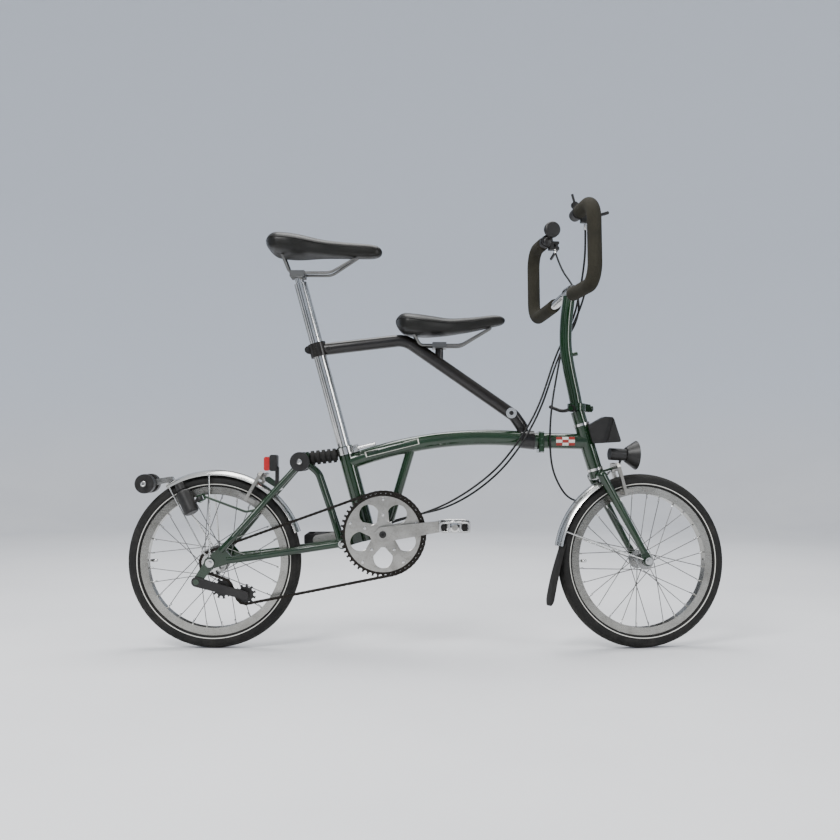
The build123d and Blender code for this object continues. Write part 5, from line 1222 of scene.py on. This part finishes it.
@dataclass
class Cranks:
    """Face plate of the spider and the right pedal's cage, which turn with the crank and on its pin."""

    plate_radius: float = 91.0 * MM
    plate_face: float = -53.9 * MM
    plate_back: float = -52.4 * MM
    opening: tuple[float, float] = (25.0 * MM, 23.0 * MM)
    opening_at: float = 56.5 * MM
    hub: float = 20.0 * MM
    length: float = 72.0 * MM
    height: float = 26.0 * MM
    near: float = 77.0 * MM
    width: float = 88.0 * MM

    def face_plate(self, paint: Paint) -> None:
        """Make the silver plate with five rounded openings.

        In each fifth, P(s, t) runs from the opening's rounded edge at s = 0 to the fifth's own edge at
        s = 1, along rays from the opening's centre. The fifth's edge is the nearer of its two straight
        sides, the plate's rim and the hub circle along each ray. A front layer, slightly smaller at its
        edges, and a back layer close on each other.

        Args:
            paint: materials by name.
        """
        crank = pivot("crank_spin")
        t = around(120)
        direction = np.stack([np.cos(t), np.sin(t)], axis=-1)
        centre = np.array([self.opening_at, 0.0])
        inner = centre + direction / np.linalg.norm(direction / np.array(self.opening), axis=1, keepdims=True)
        along = centre @ direction.T
        rim = -along + np.sqrt(along ** 2 + self.plate_radius ** 2 - centre @ centre)
        edge, far = math.radians(36.0), 9.0
        sides = []
        for sign in (-1, 1):
            normal = np.array([-math.sin(edge), sign * math.cos(edge)])
            facing = direction @ normal
            meets = facing > 1e-6
            sides.append(np.where(meets, -(centre @ normal) / np.where(meets, facing, 1), far))
        square = along ** 2 + self.hub ** 2 - centre @ centre
        hub = np.where((square > 0) & (along < 0), -along - np.sqrt(np.maximum(square, 0)), far)
        reach = np.minimum.reduce([rim, *sides, hub])
        outer = centre + direction * reach[:, None]
        s = np.array([0.0, 0.06, 0.5, 0.94, 1.0])
        flat = inner[None] * (1 - s)[:, None, None] + outer[None] * s[:, None, None]
        drop = np.array([0.5, 0.0, 0.0, 0.0, 0.0]) * MM
        front = np.dstack([flat, np.broadcast_to((self.plate_face + drop)[:, None], flat.shape[:2])])
        back = np.dstack([flat, np.full(flat.shape[:2], self.plate_back)])[::-1]
        ring = np.concatenate([front, back])
        fifths, faces = [], []
        for index in range(5):
            angle = math.radians(90 + 36 + 72 * index)
            x = ring[..., 0] * math.cos(angle) - ring[..., 1] * math.sin(angle)
            z = ring[..., 0] * math.sin(angle) + ring[..., 1] * math.cos(angle)
            fifths.append(np.stack([x + crank[0], ring[..., 2], z + crank[2]], axis=-1).reshape(-1, 3))
            faces += (grid_faces(len(ring), len(t), True, True) + index * len(fifths[0])).tolist()
        new_piece("spider_face", np.concatenate(fifths), faces, "crankset", paint["worn_alloy"],
                  smooth=False)

    def block(self, low: Sequence[float], high: Sequence[float], bevel: float) -> tuple[np.ndarray, list]:
        """Vertices and faces of a bar along Y with a bevelled section.

        Args:
            low: lowest corner.
            high: highest corner.
            bevel: size of the bevel.

        Returns:
            The points, as rings along Y, and the faces.
        """
        (x0, y0, z0), (x1, y1, z1) = low, high
        c = bevel
        section = np.array([(x0 + c, z0), (x1 - c, z0), (x1, z0 + c), (x1, z1 - c),
                            (x1 - c, z1), (x0 + c, z1), (x0, z1 - c), (x0, z0 + c)])
        middle = section.mean(axis=0)
        rows = [np.stack([*(middle + (section - middle) * k).T, np.full(8, y)], axis=-1)[:, [0, 2, 1]]
                for y, k in ((y0, 0.9), (y0 + c, 1.0), (y1 - c, 1.0), (y1, 0.9))]
        return np.array(rows), capped(4, 8)

    def pedal(self, paint: Paint) -> None:
        """Make the right pedal: two end frames, toothed rails, struts, a turned barrel and rubber blocks.

        Args:
            paint: materials by name.
        """
        x, _, z = pivot("right_pedal_spin")
        centre = np.array([x, 0.0, z])
        far = -self.near - self.width
        half, tall = self.length / 2, self.height / 2
        t = around(64)
        vertices, faces, count = [], [], 0

        def add(points: np.ndarray, quads: list) -> None:
            """Add points and faces to the pedal's metal."""
            nonlocal count
            flat = np.asarray(points).reshape(-1, 3)
            vertices.append(flat + centre)
            faces.extend([[v + count for v in f] for f in quads])
            count += len(flat)

        def loop(size: float) -> np.ndarray:
            """Rounded outline: a superellipse of power 5 drawn in by the given size."""
            cos_t, sin_t = np.cos(t), np.sin(t)
            return np.stack([(half - size) * signed_power(cos_t, 0.4), 0 * t,
                             (tall - size) * signed_power(sin_t, 0.4)], axis=-1)

        for y in (far, -self.near - 3.5 * MM):
            rings = [loop(size) + np.array([0, y + step, 0]) for size, step in
                     ((0.0, 0.6 * MM), (0.6 * MM, 0.0), (3.4 * MM, 0.0), (4.0 * MM, 0.6 * MM),
                      (4.0 * MM, 3.0 * MM), (0.0, 3.0 * MM))]
            add(np.array(rings), grid_faces(6, 64, True, True).tolist())
            for strut in (-13.0, 13.0):
                add(*self.block((strut * MM - 1.6 * MM, y + 0.3 * MM, -tall + 3 * MM),
                                (strut * MM + 1.6 * MM, y + 2.7 * MM, tall - 3 * MM), 0.5 * MM))
        for edge in (-half + 1.4 * MM, half - 1.4 * MM):
            add(*self.block((edge - 1.2 * MM, far + 2 * MM, -tall + 6 * MM),
                            (edge + 1.2 * MM, -self.near - 2 * MM, tall - 6 * MM), 0.5 * MM))
            for tooth in np.linspace(far + 8 * MM, -self.near - 8 * MM, 7):
                for sign in (-1, 1):
                    low, high = sorted((sign * (tall - 6.5 * MM), sign * (tall - 0.8 * MM)))
                    add(*self.block((edge - 1.0 * MM, tooth - 2.4 * MM, low),
                                    (edge + 1.0 * MM, tooth + 2.4 * MM, high), 0.6 * MM))
        reach = self.width / MM
        profile = np.array([(0.0, 7.1), (0.0, 11.0), (3.0, 11.6), (6.0, 9.6), (20.0, 8.6), (60.0, 8.6),
                            (80.0, 10.2), (84.0, 12.0), (reach, 11.0), (reach + 1.2, 6.0),
                            (reach + 1.2, 1.0)]) * MM
        sides = 40
        last = (len(profile) - 1) * sides
        add(lathe(profile, np.array([0.0, -self.near, 0.0]), np.array([0.0, -1.0, 0.0]), sides),
            grid_faces(len(profile), sides, False, True).tolist() + [list(range(last, last + sides))])
        piece = new_piece("right_pedal_cage", np.concatenate(vertices), faces, "right_pedal",
                          paint["polished_alloy"], smooth=False)
        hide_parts("right_pedal")
        blocks = [self.block((side * 24 * MM - 6 * MM, far + 6 * MM, -tall + 2.5 * MM),
                             (side * 24 * MM + 6 * MM, -self.near - 6 * MM, tall - 2.5 * MM), 2.0 * MM)
                  for side in (-1, 1)]
        points = np.concatenate([rows.reshape(-1, 3) + centre for rows, _ in blocks])
        quads = [[v + 32 * k for v in f] for k, (_, fs) in enumerate(blocks) for f in fs]
        new_piece("right_pedal_rubber", points, quads, "right_pedal", paint["soft_rubber"],
                  smooth=False)


# ---------------------------------------------------------------- cables
@dataclass
class Cable:
    """Brake or gear cable housing, held at both ends, in stretches that each ride on one body or, across a
    joint, on none.
    """

    name: str
    node: str
    route: Sequence[Point]
    cuts: Sequence[tuple[float, float, str, str]]
    radius: float = 2.5 * MM
    sides: int = 14

    def build(self, paint: Paint) -> None:
        """Make the housing's stretches and its end ferrules.

        Each cut gives the height where a stretch begins and ends, counted down the route, and two
        bodies; with one body twice, the stretch rides on it, and otherwise it rides on none.

        Args:
            paint: materials by name.
        """
        line = nurbs_points(self.name, [tuple(c * MM for c in point) for point in self.route], 8)
        tube = tube_along(line, np.full(len(line), self.radius), self.sides)
        for index, (high, low, first, second) in enumerate(self.cuts):
            begin = 0 if high == ROUTE_TOP else int(np.argmax(line[:, 2] <= high))
            end = len(line) if low == ROUTE_FOOT else int(np.argmax(line[:, 2] <= low)) + 1
            stretch = line[begin:end]
            body = first if first == second else None
            piece = new_piece(f"{self.name}_{index + 1}", tube[begin:end], capped(len(stretch), self.sides),
                              body, paint["cable_housing"])
            if body is None:
                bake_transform(piece)
            if index == 0:
                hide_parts(self.node)
        log.info("%s: length %.0f mm", self.name, arc_length(line)[-1] / MM)
        self.ferrule(line[0], line[0] - line[2], self.cuts[0][2], paint)
        self.ferrule(line[-1], line[-1] - line[-3], self.cuts[-1][3], paint)

    def ferrule(self, end: np.ndarray, direction: np.ndarray, body: str, paint: Paint) -> None:
        """Make a turned end cap over the last part of the housing.

        Args:
            end: the housing's end.
            direction: direction in which it leaves.
            body: the body that holds it.
            paint: materials by name.
        """
        profile = np.array([(-13, 2.55), (-13, 3.1), (-12, 3.4), (-2, 3.4), (-0.2, 2.7), (0.0, 0.4)]) * MM
        rows = lathe(profile, end, unit(direction), 20)
        faces = grid_faces(len(profile), 20, False, True)
        name = f"{self.name}_ferrule_{'upper' if end[2] > 0.8 else 'lower'}"
        new_piece(name, rows, faces, body, paint["bright_steel"])


# Heights that stand for the two ends of a route.
ROUTE_TOP = 2.0
ROUTE_FOOT = -1.0

# Control points of the housings, in millimetres, from the handlebar down.
GEAR_ROUTE = [
    (480, -106, 1016), (484, -88, 960), (482, -56, 905), (481, -4, 862), (473, 28, 812), (447, 30, 760),
    (421, 16, 704), (402, -2, 650), (383, -18, 600), (358, -32, 550), (322, -34, 494), (276, -30, 436),
    (214, -24, 386), (150, -20, 348), (92, -20, 326), (44, -23, 313), (8, -26, 301.3),
]
REAR_BRAKE_ROUTE = [
    (439.7, 136.4, 1005.7), (452, 110, 950), (474, 72, 906), (490, 46, 860), (486, 51, 810), (457, 52, 758),
    (431, 38, 704), (411, 13, 652), (391, -11, 600), (366, -28, 548), (331, -42, 490), (284, -37, 430),
    (220, -16, 376), (154, 2, 340), (92, 16, 324), (44, 23, 313), (8, 26, 301.3),
]
FRONT_BRAKE_ROUTE = [
    (494, -112, 1016), (498, -86, 950), (496, -42, 898), (494, 6, 856), (479, 39, 808), (452, 41, 758),
    (436, 25, 706), (424, 5, 654), (412, -17, 600), (405, -28, 544), (404, -30, 488), (410, -20, 438),
    (428, 0, 398), (452, 26, 366), (484, 50, 352), (516, 62, 362), (538, 62, 392), (564.1, 47.5, 428.9),
]


def build_cables(paint: Paint) -> None:
    """Make the three cable housings, from the handlebar to the gear and the brakes.

    Args:
        paint: materials by name.
    """
    upper = [(ROUTE_TOP, 0.70, "handlebar_post", "handlebar_post"), (0.70, 0.64, "handlebar_post", "fork"),
             (0.64, 0.57, "fork", "front_frame")]
    to_frame = upper + [(0.57, 0.43, "front_frame", "main_frame"),
                        (0.43, ROUTE_FOOT, "main_frame", "main_frame")]
    to_fork = upper + [(0.57, 0.46, "front_frame", "front_frame"), (0.46, ROUTE_FOOT, "front_frame", "fork")]
    Cable("gear_cable_housing", "gear_cable", GEAR_ROUTE, to_frame).build(paint)
    Cable("rear_brake_housing", "rear_brake_cable", REAR_BRAKE_ROUTE, to_frame).build(paint)
    Cable("front_brake_housing", "front_brake_cable", FRONT_BRAKE_ROUTE, to_fork).build(paint)


# ---------------------------------------------------------------- small fittings
@dataclass
class Fittings:
    """Marks, bolts and soft trim that finish the frame."""

    paint: Paint
    tube_radius: float = 19.0 * MM
    tube_stations: tuple = ((-0.088, 0.450), (0.162, 0.508), (0.378, 0.504))
    bolt_circles: tuple = (("outer", 0.083), ("inner", 0.046))
    bolt_face: float = -0.0538
    crank_end: float = 0.072
    roller_ends: tuple = (("rear_rollers", 0.040), ("upper_rollers", 0.049))
    bar_bolt_face: float = -0.0180
    hinge_half: float = 0.0365
    bar_ends_from: float = 0.99
    flap_top: tuple[float, float] = (-0.2016, 0.043)
    flap_foot: tuple[float, float] = (-0.238, -0.1055)

    def band(self, name: str, start: np.ndarray, end: np.ndarray, radius: float, spread: tuple[float, float],
             body: str, finish: str, slot: str) -> None:
        """Lay a thin patch on a tube between two points, over a range of angles round it.

        The patch is p(s, t) = a + s (b - a) + R (n cos t + m sin t), with a front and a back layer.

        Args:
            name: the piece's name.
            start: point on the tube's axis where it begins.
            end: point on the axis where it ends.
            radius: the tube's radius.
            spread: angles in degrees from the right side, counted upwards.
            body: the body it rides on.
            finish: material name.
            slot: not used.
        """
        along = unit(end - start)
        right = np.array([0.0, -1.0, 0.0])
        up = unit(np.cross(right, along))
        up = up if up[2] > 0 else -up
        s = np.linspace(0, 1, 14)
        t = np.radians(np.linspace(*spread, 14))
        ring = np.cos(t)[None, :, None] * right + np.sin(t)[None, :, None] * up
        line = start + s[:, None] * (end - start)
        layers = [line[:, None] + (radius + lift) * ring for lift in (0.35 * MM, -0.3 * MM)]
        rows = np.concatenate([layers[0], layers[1][:, ::-1]], axis=1)
        new_piece(name, rows, capped(*rows.shape[:2]), body, self.paint[finish])

    def marks(self) -> None:
        """Lay the plain marks: an outlined field on the main tube and a checked patch on the short tube."""
        radius, arc = self.tube_radius, self.main_arc
        for index, (low, high) in enumerate(((34, 37), (-6, -3))):
            self.band(f"tube_mark_line_{index + 1}", arc(0.10), arc(0.38), radius + 0.6 * MM, (low, high),
                      "main_frame", "pale_mark", "green_paint")
        for index, place in enumerate((0.10, 0.377)):
            self.band(f"tube_mark_end_{index + 1}", arc(place), arc(place + 0.006), radius + 0.6 * MM,
                      (-6, 37), "main_frame", "pale_mark", "green_paint")
        z = pivot("main_fold")[2] + 2 * MM
        for row in range(3):
            for column in range(3):
                x = 0.421 + column * 0.0152
                finish = "red_mark" if (row + column) % 2 == 0 else "pale_mark"
                spread = (-33 + row * 22, -11.4 + row * 22)
                self.band(f"check_{row + 1}_{column + 1}", np.array([x, 0, z]), np.array([x + 0.0150, 0, z]),
                          radius + 0.2 * MM, spread, "front_frame", finish, "green_paint")

    def main_arc(self, share: float) -> np.ndarray:
        """Point on the main tube's arc: the circle through its three stations.

        Args:
            share: place along the arc, from 0 at the first station to 1 at the last.

        Returns:
            The point.
        """
        a, b, c = (np.array(station) for station in self.tube_stations)
        d = 2 * (a[0] * (b[1] - c[1]) + b[0] * (c[1] - a[1]) + c[0] * (a[1] - b[1]))
        squares = [p @ p for p in (a, b, c)]
        cx = (squares[0] * (b[1] - c[1]) + squares[1] * (c[1] - a[1]) + squares[2] * (a[1] - b[1])) / d
        cz = (squares[0] * (c[0] - b[0]) + squares[1] * (a[0] - c[0]) + squares[2] * (b[0] - a[0])) / d
        centre = np.array([cx, cz])
        first, last = (math.atan2(*(p - centre)[::-1]) for p in (a, c))
        angle = first + share * (last - first)
        x, z = centre + np.linalg.norm(a - centre) * np.array([math.cos(angle), math.sin(angle)])
        return np.array([x, 0.0, z])

    def bar_plugs(self) -> None:
        """Close the handlebar's two open ends with domed plugs."""
        points = mesh_points(frame["nodes"]["handlebar"].data)
        upper = points[points[:, 2] > self.bar_ends_from]
        for side in Side:
            mine = upper[upper[:, 1] * side.value > 0]
            inmost = np.abs(mine[:, 1]).min()
            ring = mine[np.abs(mine[:, 1]) < inmost + 6 * MM]
            near = unit(side.value * np.array([math.sin(STEER_REST), -math.cos(STEER_REST), 0.0]))
            depth = ring @ near
            end = ring[depth > depth.max() - 0.6 * MM]
            profile = np.array([(-4.0, 0.3), (-4.0, 9.4), (-0.4, 9.6), (0.4, 11.4), (1.6, 11.0), (2.8, 8.0),
                                (3.2, 0.3)]) * MM
            rows = lathe(profile, (end.min(axis=0) + end.max(axis=0)) / 2, near, 28)
            new_piece(f"bar_plug_{side.name.lower()}", rows, capped(len(profile), 28), "handlebar_post",
                      self.paint["black_plastic"])

    def bolt(self, name: str, place: Sequence[float], axis: Sequence[float], radius: float, body: str,
             finish: str = "bright_steel") -> None:
        """Make a domed socket-head bolt: a turned head with a hexagonal recess.

        Args:
            name: the piece's name.
            place: middle of the head's seat.
            axis: direction in which the head faces.
            radius: radius of the head in metres.
            body: the body it rides on.
            finish: material name.
        """
        profile = np.array([(-0.3, 0.98), (0.0, 1.0), (0.45, 0.98), (0.62, 0.86), (0.66, 0.56), (0.62, 0.5),
                            (0.25, 0.46), (0.25, 0.02)]) * radius
        seat, facing = np.array(place, float), unit(np.array(axis, float))
        rows = lathe(profile, seat, facing, 24)
        hexagon = np.cos(np.pi / 6) / np.cos((around(24) % (np.pi / 3)) - np.pi / 6)
        centre = seat + facing * profile[-3:, 0][:, None]
        rows[-3:-1] = centre[:2, None] + (rows[-3:-1] - centre[:2, None]) * (hexagon * 1.05)[None, :, None]
        new_piece(name, rows, capped(len(profile), 24), body, self.paint[finish],
                  smooth=False)

    def bolts(self) -> None:
        """Fit the bolts that show: chain ring, crank, rollers, second seat bar and hinge."""
        crank = pivot("crank_spin")
        for index in range(5):
            angle = math.radians(90 + 72 * index)
            for ring, reach in self.bolt_circles:
                place = crank + np.array([reach * math.cos(angle), self.bolt_face, reach * math.sin(angle)])
                self.bolt(f"{ring}_bolt_{index + 1}", place, (0, -1, 0), 3.9 * MM, "crankset")
        for side in Side:
            name = side.name.lower()
            self.bolt(f"crank_bolt_{name}", crank + np.array([0, side.value * self.crank_end, 0]),
                      (0, side.value, 0), 8.5 * MM, "crankset", "black_plastic")
            for label, reach in self.roller_ends:
                x, _, z = pivot(f"{label}_spin")
                self.bolt(f"{label}_bolt_{name}", (x, side.value * reach, z), (0, side.value, 0), 7.0 * MM,
                          "rear_frame")
        self.bolt("second_bar_bolt", (BAR_PIVOT[0], self.bar_bolt_face, BAR_PIVOT[1]), (0, -1, 0), 5.5 * MM,
                  "main_frame", "black_plastic")
        x, _, z = pivot("rear_fold")
        for side in Side:
            self.bolt(f"rear_hinge_bolt_{side.name.lower()}", (x, side.value * self.hinge_half, z),
                      (0, side.value, 0), 7.0 * MM, "main_frame")

    def mudflap(self) -> None:
        """Make the front mudflap: a rubber sheet that bows outwards and carries two moulded ribs.

        With s across and t down, the sheet is p = a + t (b - a) + w(t) s left + bow(s, t) out. The bow is a
        share of 1 - s^2 and of sin(pi t), and the half width w is 21 mm + 10 mm sin(1.9 t), rounding in at
        the foot. A rib stands at |s| = 0.45 on each side.
        """
        axle = np.array(FRONT_AXLE)
        left = turned(np.array([0.0, 1.0, 0.0]), np.array(HEAD_AXIS), np.zeros(3), STEER_REST)
        tilt = turned(np.array([1.0, 0.0, 0.0]), np.array(HEAD_AXIS), np.zeros(3), STEER_REST)
        top, foot = (axle + tilt * back + np.array([0, 0, rise])
                     for back, rise in (self.flap_top, self.flap_foot))
        t = np.linspace(0, 1, 40)
        s = np.linspace(-1, 1, 25)
        T, S = np.meshgrid(t, s, indexing="ij")
        rounding = np.sqrt(np.clip(1 - np.clip((T - 0.88) / 0.13, 0, 1) ** 2, 0.12, 1))
        half = (21 + 10 * np.sin(T * 1.9)) * MM * rounding
        down = unit(foot - top)
        out = unit(np.cross(down, left))
        out = out if out[0] < 0 else -out
        bow = (5.0 * (1 - S ** 2) - 4.0) * MM + 3.0 * MM * np.sin(np.pi * T)
        ribs = 0.7 * MM * np.exp(-((np.abs(S) - 0.45) / 0.06) ** 2) * (T > 0.08) * (T < 0.85)
        middle = top + T[..., None] * (foot - top) + (half * S)[..., None] * left
        front = middle + (bow + 0.9 * MM + ribs)[..., None] * out
        back = (middle + (bow - 0.9 * MM)[..., None] * out)[:, ::-1]
        rows = np.concatenate([front, back], axis=1)
        piece = new_piece("mudflap_sheet", rows, capped(*rows.shape[:2]), "fork", self.paint["soft_rubber"])
        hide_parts("front_mudflap")


# ---------------------------------------------------------------- studio
@dataclass
class Studio:
    """Camera, floor and soft lights."""

    place: Point = (0.0886, -2.45, 0.472)
    pitch: float = 1.95
    lens: float = 42.7
    floor_radius: float = 4.2
    bend: float = 2.4
    wall_top: float = 5.6
    card_distance: float = 2.9
    card_half: float = 0.42
    card_height: float = 3.0

    def camera(self) -> None:
        """Make the camera at the viewing angle and set it as the scene's."""
        data = bpy.data.cameras.new("camera")
        data.lens = self.lens
        data.sensor_width = 36.0
        camera = placed("camera", data)
        camera.location = self.place
        camera.rotation_euler = (math.radians(90 + self.pitch), 0.0, 0.0)
        bpy.context.scene.camera = camera

    def floor(self) -> None:
        """Make the pale floor: a disc that rises in a smooth curve to a low wall all round."""
        bend = np.linspace(0, np.pi / 2, 24)
        radius = np.concatenate([np.linspace(0.01, self.floor_radius, 22),
                                 self.floor_radius + self.bend * np.sin(bend[1:]),
                                 [self.floor_radius + self.bend]])
        height = np.concatenate([np.zeros(22), self.bend * (1 - np.cos(bend[1:])), [self.wall_top]])
        t = around(96)
        rows = np.stack([radius[:, None] * np.cos(t), radius[:, None] * np.sin(t),
                         np.broadcast_to(height[:, None], (len(height), len(t))) - 0.0002], axis=-1)
        faces = grid_faces(len(radius), len(t), False, True).tolist() + [list(range(len(t)))]
        mesh = bpy.data.meshes.new("floor")
        mesh.from_pydata(rows.reshape(-1, 3).tolist(), [], faces)
        mesh.polygons.foreach_set("use_smooth", [True] * len(mesh.polygons))
        floor = placed("floor", mesh)
        shader = Shader("floor_paint")
        height = node(shader.tree, "SeparateXYZ", {0: shader.place}).outputs["Z"]
        wall = shader.step(height, 0.0, 1.2)
        tone = shader.mix(shader.noise(1.5, 0.3, 0.7), (0.74, 0.74, 0.745), (0.70, 0.70, 0.71))
        tone = shader.mix(wall, tone, (0.66, 0.70, 0.76))
        mesh.materials.append(shader.feed(Base_Color=tone, Roughness=0.7, Specular_IOR_Level=0.2))

    def cards(self) -> None:
        """Stand dark cards round the studio that only reflections see, to give metal its dark edges."""
        shader = Shader("card_black")
        black = shader.feed(Base_Color=(0.01, 0.01, 0.01, 1.0), Roughness=1.0)
        for index, degrees in enumerate((-155, -118, -62, -25, 25, 75, 105, 155)):
            angle = math.radians(degrees)
            centre = self.card_distance * np.array([math.cos(angle), math.sin(angle), 0.0])
            centre = centre + np.array([0.1, 0.0, 0.0])
            across = self.card_half * np.array([-math.sin(angle), math.cos(angle), 0.0])
            corners = [centre + across * side + np.array([0, 0, self.card_height * up])
                       for side, up in ((-1, 0), (1, 0), (1, 1), (-1, 1))]
            mesh = bpy.data.meshes.new(f"card_{index + 1}")
            mesh.from_pydata([tuple(corner) for corner in corners], [], [(0, 1, 2, 3)])
            mesh.materials.append(black)
            card = placed(mesh.name, mesh)
            card.visible_camera = card.visible_shadow = card.visible_diffuse = False
            card.visible_transmission = False

    def light(self, name: str, place: Point, target: Point, size: float, power: float) -> None:
        """Add a soft area light.

        Args:
            name: its name.
            place: where it stands.
            target: the point it faces.
            size: side of its square in metres.
            power: its power in watts.
        """
        data = bpy.data.lights.new(name, "AREA")
        data.size = size
        data.energy = power
        light = placed(name, data)
        light.location = place
        light.rotation_euler = (Vector(target) - Vector(place)).to_track_quat("-Z", "Y").to_euler()

    def build(self) -> None:
        """Set up the whole studio."""
        self.camera()
        self.floor()
        self.cards()
        world = bpy.data.worlds.new("studio")
        world.use_nodes = True
        world.node_tree.nodes["Background"].inputs[0].default_value = (0.88, 0.91, 0.96, 1.0)
        world.node_tree.nodes["Background"].inputs[1].default_value = 0.75
        bpy.context.scene.world = world
        self.light("key", (-1.6, -2.6, 3.3), (0.1, 0.0, 0.5), 1.6, 170.0)
        self.light("fill", (3.0, -2.2, 1.6), (0.0, 0.0, 0.5), 1.2, 40.0)
        self.light("top", (0.2, 0.8, 3.6), (0.0, 0.0, 0.3), 2.4, 130.0)


# ---------------------------------------------------------------- assembly
def main() -> None:
    """Build the studio, dress the CAD nodes and make every new piece, in order."""
    logging.basicConfig(level=logging.INFO, format="%(name)s %(message)s")
    Studio().build()
    paint = finishes()
    dress_nodes(paint)
    build_cables(paint)
    wheels = (Wheel("front", "front_wheel", FRONT_AXLE, STEER_REST),
              Wheel("rear", "rear_wheel", REAR_AXLE, 0.0))
    for wheel in wheels:
        wheel.tyre(paint[f"{wheel.name}_tyre_rubber"])
        wheel.valve(paint["bright_steel"])
        wheel.nipples(paint["polished_alloy"])
    Saddle("main_saddle_cover", "main_saddle", "seat_pillar",
           top=(0.86, 1.02, 0.95, 0.73, 0.64, 0.58, 0.48),
           under=(0.42, 0.12, 0.03, 0.05, 0.02, 0.0, 0.04)).build(paint)
    Saddle("second_saddle_cover", "second_saddle", "main_frame",
           top=(0.86, 1.02, 0.92, 0.77, 0.84, 0.95, 0.88),
           under=(0.42, 0.10, 0.0, 0.06, 0.22, 0.44, 0.52)).build(paint)
    Chain().build(paint["chain_steel"])
    cranks = Cranks()
    cranks.face_plate(paint)
    cranks.pedal(paint)
    trim = Fittings(paint)
    trim.marks()
    trim.bolts()
    trim.mudflap()
    trim.bar_plugs()


if __name__ == "__main__":
    main()
